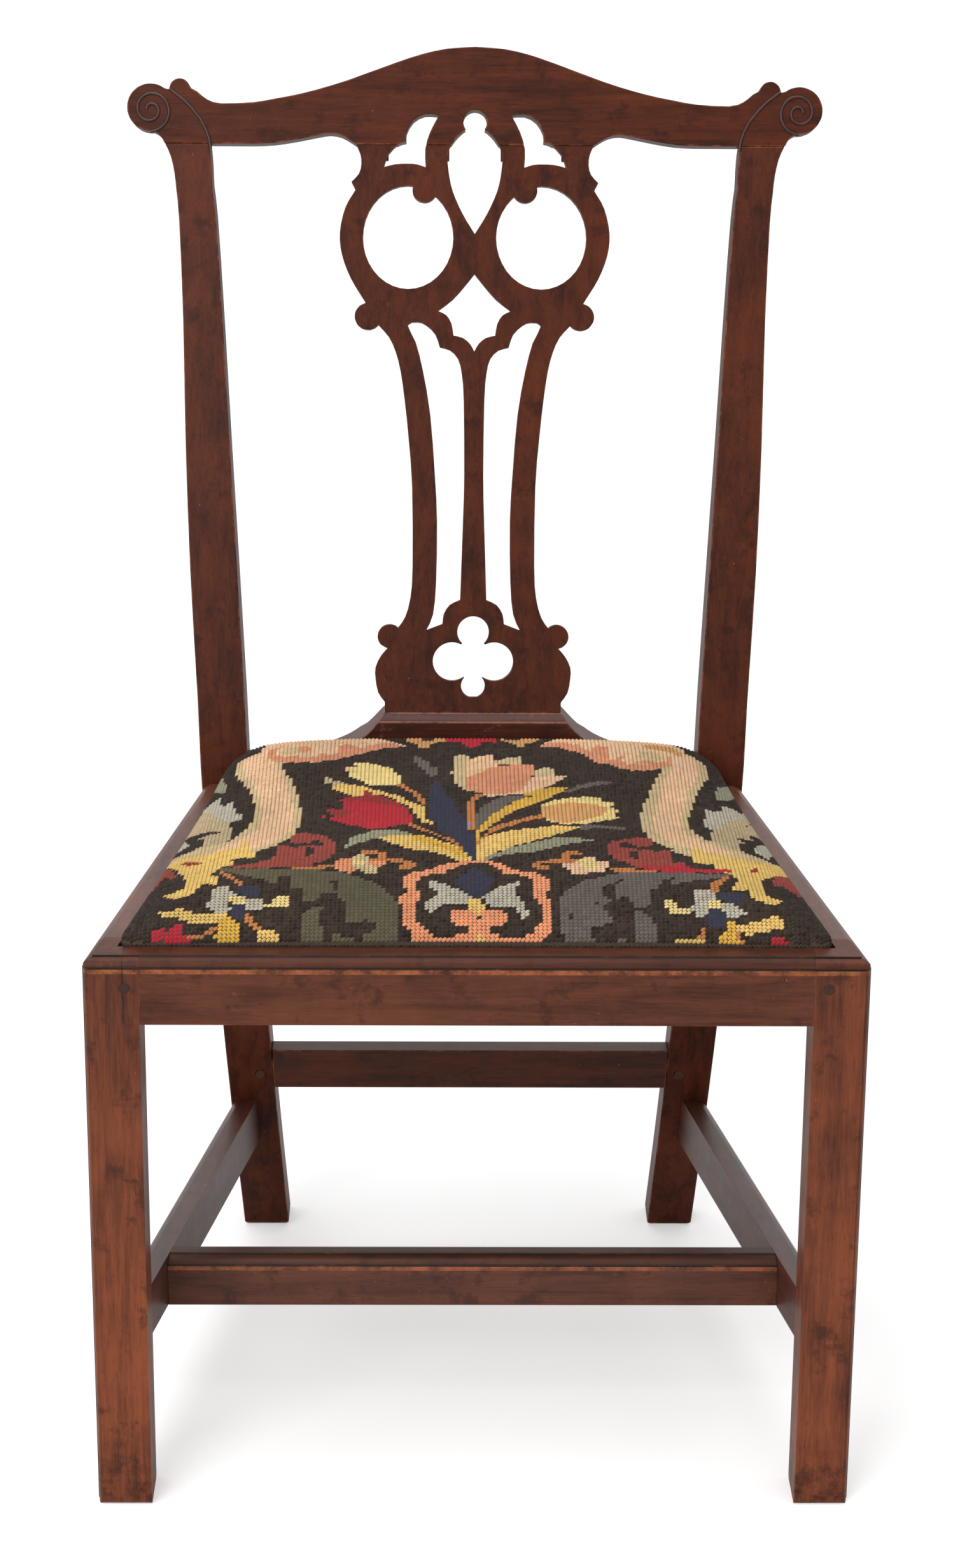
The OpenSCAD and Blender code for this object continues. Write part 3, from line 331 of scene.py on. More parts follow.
# The seat rails: tenoned into the legs and posts, and rabbeted inside for the loose
# seat. The front and side rails have a moulding along their top edge, the rear rail
# is plain and stands higher.
RAIL_TONES = {"base": (0.122, 0.038, 0.019), "dark": (0.042, 0.014, 0.009), "worn": (0.34, 0.10, 0.038)}
MOULDED_ROUND = 0.0004
front_rail_woods = wood_pair("front_rail", "X", RAIL_TONES, wear=0.03, gloss=0.12, quirks=SEAT_QUIRKS)
in_wood("front_seat_rail", front_rail_woods, round_by=MOULDED_ROUND)
side_rail_woods = wood_pair("side_rail", "Y", RAIL_TONES, wear=0.04, gloss=0.5)
for side in ("left", "right"):
    in_wood("side_seat_rail_" + side, side_rail_woods, round_by=MOULDED_ROUND)
# The rear rail takes the back's darker tones: painted shade
in_wood("rear_seat_rail", wood_pair("rear_rail", "X", SHADED_BACK_TONES, wear=0.02))

# The four stretchers: tenoned into the legs near the floor, with a small moulding
# along the upper outer edge of the two at the sides and the one between them.
MEDIAL_QUIRKS = (0.1276, -0.1282)
medial_woods = wood_pair("medial_stretcher", "X", RAIL_TONES, wear=0.03, quirks=MEDIAL_QUIRKS)
in_wood("medial_stretcher", medial_woods, round_by=MOULDED_ROUND)
# The rear and side stretchers take the back's darker tones: painted shade low under the seat
in_wood("rear_stretcher", wood_pair("rear_stretcher", "X", SHADED_BACK_TONES, wear=0.0))
stretcher_woods = wood_pair("side_stretcher", "Y", SHADED_BACK_TONES, wear=0.03, gloss=0.85)
for side in ("left", "right"):
    in_wood("side_stretcher_" + side, stretcher_woods, round_by=MOULDED_ROUND)

# The back: a pierced splat sawn from one thin board, held in a shoe on the rear rail,
# under a crest rail that is sawn to a bow, leans back and is tenoned to the posts.
SHOE_TONES = {"base": (0.085, 0.022, 0.011), "dark": (0.030, 0.009, 0.006), "worn": (0.26, 0.095, 0.055)}
SPLAT_ROUND = 0.0004
# The splat and crest take the back's darker tones: painted shade
in_wood("splat", wood_pair("splat", "Z", SHADED_BACK_TONES, wear=0.02, gloss=0.1), round_by=SPLAT_ROUND)
in_wood("crest_rail", wood_pair("crest", "X", SHADED_BACK_TONES, wear=0.01, gloss=0.1))
in_wood("shoe", wood_pair("shoe", "X", SHOE_TONES, wear=0.09))

# The carving on the ears of the crest rail: a scroll that winds inwards, and a line
# beside it down to the post, both cut with a gouge and rubbed along the edge, with the shade of the cut
# painted into their darker wood.
CREST_FACE, CREST_LEAN = (0.2266, 0.9303), 0.2545
SCROLL_MIDDLE, SCROLL_STEPS, SCROLL_OPENING = (0.2493, 0.9297), 72, 1.15
SCROLL_START, SCROLL_END, SCROLL_TURNS, SCROLL_FROM = 0.0030, 0.0162, 1.75, 0.5
SIDE_LINE = [(0.2348, 0.9450), (0.2240, 0.9372), (0.2177, 0.9310), (0.2112, 0.9232), (0.2068, 0.9152),
             (0.2045, 0.9090), (0.2032, 0.9010)]
CARVED_WIDTH, CARVED_FACETS = 0.0013, 8
CARVED_SHADED_TONES = {"base": (0.042, 0.012, 0.007), "dark": (0.018, 0.006, 0.004), "worn": (0.16, 0.05, 0.025)}


def on_crest(x, z):
    """A point on the front face of the leaning crest rail"""
    return (x, CREST_FACE[0] + (z - CREST_FACE[1]) * CREST_LEAN, z)


def growing(name, inputs):
    """A tree of geometry nodes, its inputs, and the value for each input's identifier"""
    tree = bpy.data.node_groups.new(name, "GeometryNodeTree")
    tree.is_modifier = True
    for way in ("INPUT", "OUTPUT"):
        tree.interface.new_socket("Geometry", in_out=way, socket_type="NodeSocketGeometry")
    values = {}
    for label, value in inputs.items():
        kind = "NodeSocketMaterial" if isinstance(value, bpy.types.Material) else "NodeSocketFloat"
        socket = tree.interface.new_socket(label, in_out="INPUT", socket_type=kind)
        socket.default_value = value
        values[socket.identifier] = value
    return tree, node_in(tree, "NodeGroupInput").outputs, values


def grown(name, start, tree, values, body):
    """The plain mesh that a tree of geometry nodes makes from a start mesh"""
    rough = placed(name + "_start", start)
    growth = rough.modifiers.new("growth", "NODES")
    growth.node_group = tree
    for identifier, value in values.items():
        growth[identifier] = value
    made_mesh = bpy.data.meshes.new_from_object(rough.evaluated_get(bpy.context.evaluated_depsgraph_get()))
    made_mesh.name = name
    rough.modifiers.remove(growth)
    bpy.data.objects.remove(rough)
    made = placed(name, made_mesh)
    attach(made, body)
    return made


# The carved lines' darker tones are painted shade of the cut
carved_wood = timber("shaded_carved_edge", "Z", CARVED_SHADED_TONES, wear=0.04, gloss=0.4, roughness=0.3)
carving, entry, carving_values = growing("carved_line", {"Width": CARVED_WIDTH, "Wood": carved_wood})
line = node_in(carving, "GeometryNodeMeshToCurve", {"Mesh": entry["Geometry"]}).outputs[0]
section = node_in(carving, "GeometryNodeCurvePrimitiveCircle",
                  {"Resolution": CARVED_FACETS, "Radius": entry["Width"]})
swept = node_in(carving, "GeometryNodeCurveToMesh",
                {"Curve": line, "Profile Curve": section.outputs[0], "Fill Caps": True})
smooth = node_in(carving, "GeometryNodeSetShadeSmooth", {0: swept.outputs[0]})
real = node_in(carving, "GeometryNodeRealizeInstances", {0: smooth.outputs[0]})
dressed = node_in(carving, "GeometryNodeSetMaterial",
                  {"Geometry": real.outputs[0], "Material": entry["Wood"]})
node_in(carving, "NodeGroupOutput", {0: dressed.outputs[0]})

points, edges = [], []
for hand in (-1, 1):
    scroll = []
    for step in range(SCROLL_STEPS + 1):
        part = step / SCROLL_STEPS
        angle = 2 * math.pi * (SCROLL_FROM - part * SCROLL_TURNS)
        radius = SCROLL_START + (SCROLL_END - SCROLL_START) * part ** SCROLL_OPENING
        scroll.append(on_crest(hand * (SCROLL_MIDDLE[0] - radius * math.cos(angle)),
                               SCROLL_MIDDLE[1] + radius * math.sin(angle)))
    for run in (scroll, [on_crest(hand * x, z) for x, z in SIDE_LINE]):
        edges += [(len(points) + k, len(points) + k + 1) for k in range(len(run) - 1)]
        points += run
line_mesh = bpy.data.meshes.new("carved_lines")
line_mesh.from_pydata(points, edges, [])
grown("ear_carving", line_mesh, carving, carving_values, "chair_frame")

# The pegs: round and driven through the tenons, with their heads cut flush. They're
# of the same wood, seen on the end of its grain, which takes the polish darker.
PEG_TONES = {"base": (0.066, 0.019, 0.010), "dark": (0.020, 0.008, 0.005), "worn": (0.10, 0.03, 0.015)}


def dress(nodes, material):
    """A material on the solids that are seen as they are"""
    for node in nodes:
        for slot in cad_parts[node].material_slots:
            slot.material = material


dress(("front_rail_pegs", "rear_stretcher_pegs"), timber("peg_end_grain", "Y", PEG_TONES))
dress(("side_rail_pegs",), timber("side_peg_end_grain", "X", PEG_TONES))

# The glue blocks: four rough pine blocks, glued into the corners of the rails under
# the seat. The polish never reached them, and handling and dust have darkened them.
BLOCK_TONES = {"base": (0.24, 0.13, 0.06), "dark": (0.12, 0.06, 0.03), "worn": (0.34, 0.2, 0.1)}
dress(("front_block_left", "front_block_right", "rear_block_left", "rear_block_right"),
      timber("glue_block_wood", "Z", BLOCK_TONES, wear=0.02, roughness=0.7))

# The frame of the loose seat: four planed pine members, half-lapped at the corners,
# that lie in the rabbets of the rails and carry the webbing and the cover.
PINE_TONES = {"base": (0.42, 0.26, 0.12), "dark": (0.26, 0.14, 0.06), "worn": (0.50, 0.34, 0.18)}
for along, sides in (("X", ("front", "back")), ("Y", ("left", "right"))):
    pine = timber("seat_frame_wood_" + along, along, PINE_TONES, wear=0.02, roughness=0.72)
    dress(["seat_frame_" + side for side in sides], pine)

# The webbing and base cloth: six jute straps, three across and three woven through
# them, pulled tight and tacked to the seat frame, with plain linen over them.
JUTE, JUTE_SHADE_AND_SLUBS, JUTE_THREADS = (0.36, 0.24, 0.12), (0.16, 0.10, 0.05), 700
LINEN, LINEN_SHADE_AND_SLUBS, LINEN_THREADS = (0.55, 0.47, 0.34), (0.34, 0.28, 0.19), 1300
SLUBS, SLUB_SPAN, SLUB_COVER = {"Scale": 420, "Detail": 4}, (0.4, 0.7), 0.4
WEAVE_ROUGHNESS, WEAVE_BUMPS = 0.9, (0.6, 0.0004)


def woven(name, light, dark, threads_per_metre):
    """Plain weave of round threads, along X and along Y, with painted shade where each thread dips from its
    crown
    """
    material, tree, where = material_with(name, {"Roughness": WEAVE_ROUGHNESS})
    apart = node_in(tree, "ShaderNodeSeparateXYZ", {0: where}).outputs
    turns = [maths(tree, "MULTIPLY", apart[axis], math.pi * threads_per_metre) for axis in "XY"]
    across, along = (maths(tree, "ABSOLUTE", maths(tree, "SINE", turn)) for turn in turns)
    checks = node_in(tree, "ShaderNodeTexChecker", {"Vector": where, "Scale": threads_per_metre})
    crossed = {"Factor": checks.outputs["Fac"], "A": across, "B": along}
    height = node_in(tree, "ShaderNodeMix", crossed).outputs["Result"]
    slubs = noise(tree, where, SLUBS)
    # Painted shade: the threads darken as they dip from their crowns; the slubs are darker yarn
    colour = blended(tree, height, dark, light)
    feed(tree, "Base Color", blended(tree, window(tree, slubs, *SLUB_SPAN, SLUB_COVER), colour, dark))
    bumped(tree, maths(tree, "ADD", height, slubs), *WEAVE_BUMPS)
    return material


def in_cloth(node, name, material):
    """A cloth or padded piece of the seat, laid as its solid is"""
    made = joined(node, name, [material])
    stands_for(made, node, "slip_seat")
    return made


jute = woven("jute_webbing", JUTE, JUTE_SHADE_AND_SLUBS, JUTE_THREADS)
crosswise = in_cloth("crosswise_webbing", "crosswise_webbing_weave", jute)
lengthwise = in_cloth("lengthwise_webbing", "lengthwise_webbing_weave", jute)
linen = woven("base_linen", LINEN, LINEN_SHADE_AND_SLUBS, LINEN_THREADS)
base = in_cloth("base_cloth", "base_cloth_weave", linen)

# The tacks: cut iron with small rough heads, rusted brown, driven through the ends of
# the webbing and through the turned-in edge of the cover.
IRON, RUST = (0.045, 0.04, 0.038), (0.13, 0.05, 0.022)
RUST_NOISE, RUST_SPAN, RUST_BUMPS = {"Scale": 900, "Detail": 5, "Roughness": 0.7}, (0.38, 0.62), (0.5, 0.0003)
IRON_FINISH = {"Metallic": 0.5, "Roughness": 0.6}


def mottled(name, sizes, span, dark, light, bumps, finish):
    """A material whose colour and bumps follow one noise"""
    material, tree, where = material_with(name, finish)
    marks = noise(tree, where, sizes)
    feed(tree, "Base Color", blended(tree, window(tree, marks, *span), dark, light))
    bumped(tree, marks, *bumps)
    return material


dress(("webbing_tacks", "cover_tacks"),
      mottled("rusted_iron", RUST_NOISE, RUST_SPAN, IRON, RUST, RUST_BUMPS, IRON_FINISH))

# The stuffing: a crowned pad of curled horsehair, built up in layers and firm. The
# cover hides it, so it keeps its solid's form, smoothed.
HAIR_DARK, HAIR_LIGHT = (0.02, 0.014, 0.01), (0.16, 0.11, 0.07)
CURLS = {"Scale": 600, "Detail": 6, "Roughness": 0.7, "Distortion": 3}
CURL_SPAN, CURL_BUMPS = (0.35, 0.65), (1.0, 0.002)
hair = mottled("curled_horsehair", CURLS, CURL_SPAN, HAIR_DARK, HAIR_LIGHT, CURL_BUMPS, {"Roughness": 0.85})
pad = in_cloth("stuffing", "stuffing_pad", hair)
pad.data.shade_smooth()

# The cover: canvas pulled over the crown and turned in under the seat frame. It
# drops straight at its sides and rolls over its back, as the stuffing does. All
# in millimetres from the face of the front rail, and then put in place.
FRONT_WIDTH, BACK_WIDTH, SEAT_DEPTH = 543.0, 424.0, 370.0
FRONT_EDGE, BACK_EDGE, SIDE_TOP = 23.6, 365.4, 20.0
COVER_GAP, OUTLINE_STEP = 0.6, 7.0
CORNER_FRONT, CORNER_BACK, CORNER_STEPS = 8.4, 23.4, 12
SEAT_MIDDLE, SEAT_HALF_DEPTH = 194.5, 171.5
CROWN_BASE, CROWN_RISE, CROWN_LEAN = 424.0, 41.5, 0.12
# The crown's section is an ellipse in front and a box with rounded shoulders at the
# back, where it goes over in a roll that fades towards the corners
FLAT_POWER, ROUND_POWER, ROLL_FLATTER, ROLL_ROUNDER, ROLL_FADE = 2, 0.5, 14, 0.25, 0.65
HEM_HEIGHT, HEM_ROLL = 407.3, 1.0
HEM_RINGS = ((0.6, 0.3), (1.6, 0.05), (10.0, 0.05), (20.0, 0.05))
FACE_TO_MIDDLE, MILLIMETRES = 260.77, 1000
CANVAS_DEPTH, CANVAS_THICKNESS = 0.35, 0.0008
RINGS, DROP_RINGS = 36, 4
CANVAS_DARK, CANVAS_LIGHT = (0.045, 0.032, 0.024), (0.115, 0.085, 0.060)
FIBRES, FIBRE_SPAN, FIBRE_BUMPS = {"Scale": 1100, "Detail": 5, "Roughness": 0.7}, (0.3, 0.7), (0.8, 0.0006)
CANVAS_FINISH = {"Roughness": 0.95, "Specular IOR Level": 0.05}

taper = math.atan2((FRONT_WIDTH - BACK_WIDTH) / 2, SEAT_DEPTH)


def side_at(y, gap=0.0):
    """Half the width of the opening between the side rails"""
    return FRONT_WIDTH / 2 - (SIDE_TOP + gap) / math.cos(taper) - y * math.tan(taper)


def cover_outline():
    """Points round the cover, seen from above, with its rounded corners"""
    front, back = side_at(FRONT_EDGE, COVER_GAP), side_at(BACK_EDGE, COVER_GAP)
    corners = np.array([(-front, FRONT_EDGE), (front, FRONT_EDGE), (back, BACK_EDGE), (-back, BACK_EDGE)])
    found = []
    for k, corner in enumerate(corners):
        radius = CORNER_FRONT if k < 2 else CORNER_BACK
        before, after = corners[k - 1] - corner, corners[(k + 1) % 4] - corner
        before, after = before / np.linalg.norm(before), after / np.linalg.norm(after)
        half_angle = math.acos(float(before @ after)) / 2
        inward = (before + after) / np.linalg.norm(before + after)
        middle = corner + inward * radius / math.sin(half_angle)
        start = corner + before * radius / math.tan(half_angle) - middle
        end = corner + after * radius / math.tan(half_angle) - middle
        first = math.atan2(start[1], start[0])
        turn = (math.atan2(end[1], end[0]) - first + 3 * math.pi) % (2 * math.pi) - math.pi
        for step in range(CORNER_STEPS + 1):
            angle = first + turn * step / CORNER_STEPS
            found.append(middle + radius * np.array([math.cos(angle), math.sin(angle)]))
    spaced = []
    for here, there in zip(found, found[1:] + found[:1]):
        pieces = max(1, math.ceil(np.linalg.norm(there - here) / OUTLINE_STEP))
        spaced += [here + (there - here) * k / pieces for k in range(pieces)]
    return np.array(spaced)


def crown_height(share, rim_x, rim_y, y):
    """Height of the crown at a share of the way from the middle to the rim"""
    back = (rim_y - SEAT_MIDDLE) / SEAT_HALF_DEPTH
    opening = FRONT_WIDTH / 2 - SIDE_TOP / math.cos(taper) - rim_y * math.tan(taper)
    roll = np.maximum(0, back) ** 2 * (1 - ROLL_FADE * np.clip(np.abs(rim_x) / opening, 0, 1) ** 3)
    lift = 1 + CROWN_LEAN * (y - SEAT_MIDDLE) / SEAT_HALF_DEPTH
    section = 1 - np.clip(share, 0, 1) ** (FLAT_POWER + ROLL_FLATTER * roll)
    return CROWN_BASE + CROWN_RISE * lift * section ** (ROUND_POWER - ROLL_ROUNDER * roll)


def in_place(points):
    """Millimetres from the face of the front rail to metres from the middle of the chair"""
    return (np.asarray(points) - (0, FACE_TO_MIDDLE, 0)) / MILLIMETRES


rim = cover_outline()
around = len(rim)
centre = np.array([0.0, SEAT_MIDDLE])
rim_angle = np.arctan2(rim[:, 1] - centre[1], rim[:, 0])
rim_reach = np.hypot(rim[:, 0], rim[:, 1] - centre[1])
rings = [np.array([[0, SEAT_MIDDLE, CROWN_BASE + CROWN_RISE - CANVAS_DEPTH]])]
for k in range(1, RINGS + 1):
    share = math.sin(math.pi / 2 * k / RINGS)
    flat = centre + (rim - centre) * share * (1 - CANVAS_DEPTH / rim_reach[:, None])
    height = crown_height(share, rim[:, 0], rim[:, 1], flat[:, 1]) - CANVAS_DEPTH
    rings.append(np.column_stack([flat, height]))
for k in range(1, DROP_RINGS + 1):
    height = CROWN_BASE - CANVAS_DEPTH + (HEM_HEIGHT + HEM_ROLL - CROWN_BASE) * k / DROP_RINGS
    rings.append(np.column_stack([rings[RINGS][:, :2], np.full(around, height)]))
for inset, above in HEM_RINGS:
    flat = centre + (rim - centre) * (1 - (CANVAS_DEPTH + inset) / rim_reach[:, None])
    rings.append(np.column_stack([flat, np.full(around, HEM_HEIGHT + above)]))
faces = [(0, 1 + k, 1 + (k + 1) % around) for k in range(around)]
for first in range(1, 1 + around * (len(rings) - 2), around):
    for k in range(around):
        after = (k + 1) % around
        faces.append((first + k, first + around + k, first + around + after, first + after))
canvas_mesh = bpy.data.meshes.new("seat_canvas")
canvas_mesh.from_pydata(in_place(np.vstack(rings)).tolist(), [], faces)
canvas_mesh.shade_smooth()
canvas_mesh.materials.append(mottled("dark_canvas", FIBRES, FIBRE_SPAN, CANVAS_DARK, CANVAS_LIGHT,
                                     FIBRE_BUMPS, CANVAS_FINISH))
canvas = placed("seat_canvas", canvas_mesh)
wall = canvas.modifiers.new("thickness", "SOLIDIFY")
wall.thickness = CANVAS_THICKNESS
wall.offset = -1
stands_for(canvas, "needlework_cover", "slip_seat")

# The stitches: wool, each one slanted over a crossing of the canvas, about eight to
# the inch at the scale chosen. They cover the top and go on down the sides.
WOOLS = {
    "ground": (0.034, 0.024, 0.019),
    "khaki": (0.56, 0.43, 0.24),
    "peach": (0.72, 0.47, 0.29),
    "salmon": (0.63, 0.27, 0.15),
    "coral": (0.71, 0.28, 0.14),
    "straw": (0.71, 0.56, 0.23),
    "yellow": (0.68, 0.46, 0.14),
    "gold": (0.62, 0.37, 0.06),
    "tan": (0.58, 0.31, 0.12),
    "rust": (0.47, 0.18, 0.06),
    "crimson": (0.42, 0.025, 0.04),
    "oxblood": (0.28, 0.032, 0.032),
    "brick": (0.28, 0.058, 0.045),
    "navy": (0.033, 0.036, 0.062),
    "sage": (0.27, 0.265, 0.18),
    "slate": (0.128, 0.11, 0.098),
    "olive": (0.105, 0.096, 0.058),
    "silver": (0.43, 0.40, 0.32),
    "oat": (0.45, 0.35, 0.21),
    "violet": (0.22, 0.2, 0.45),
}
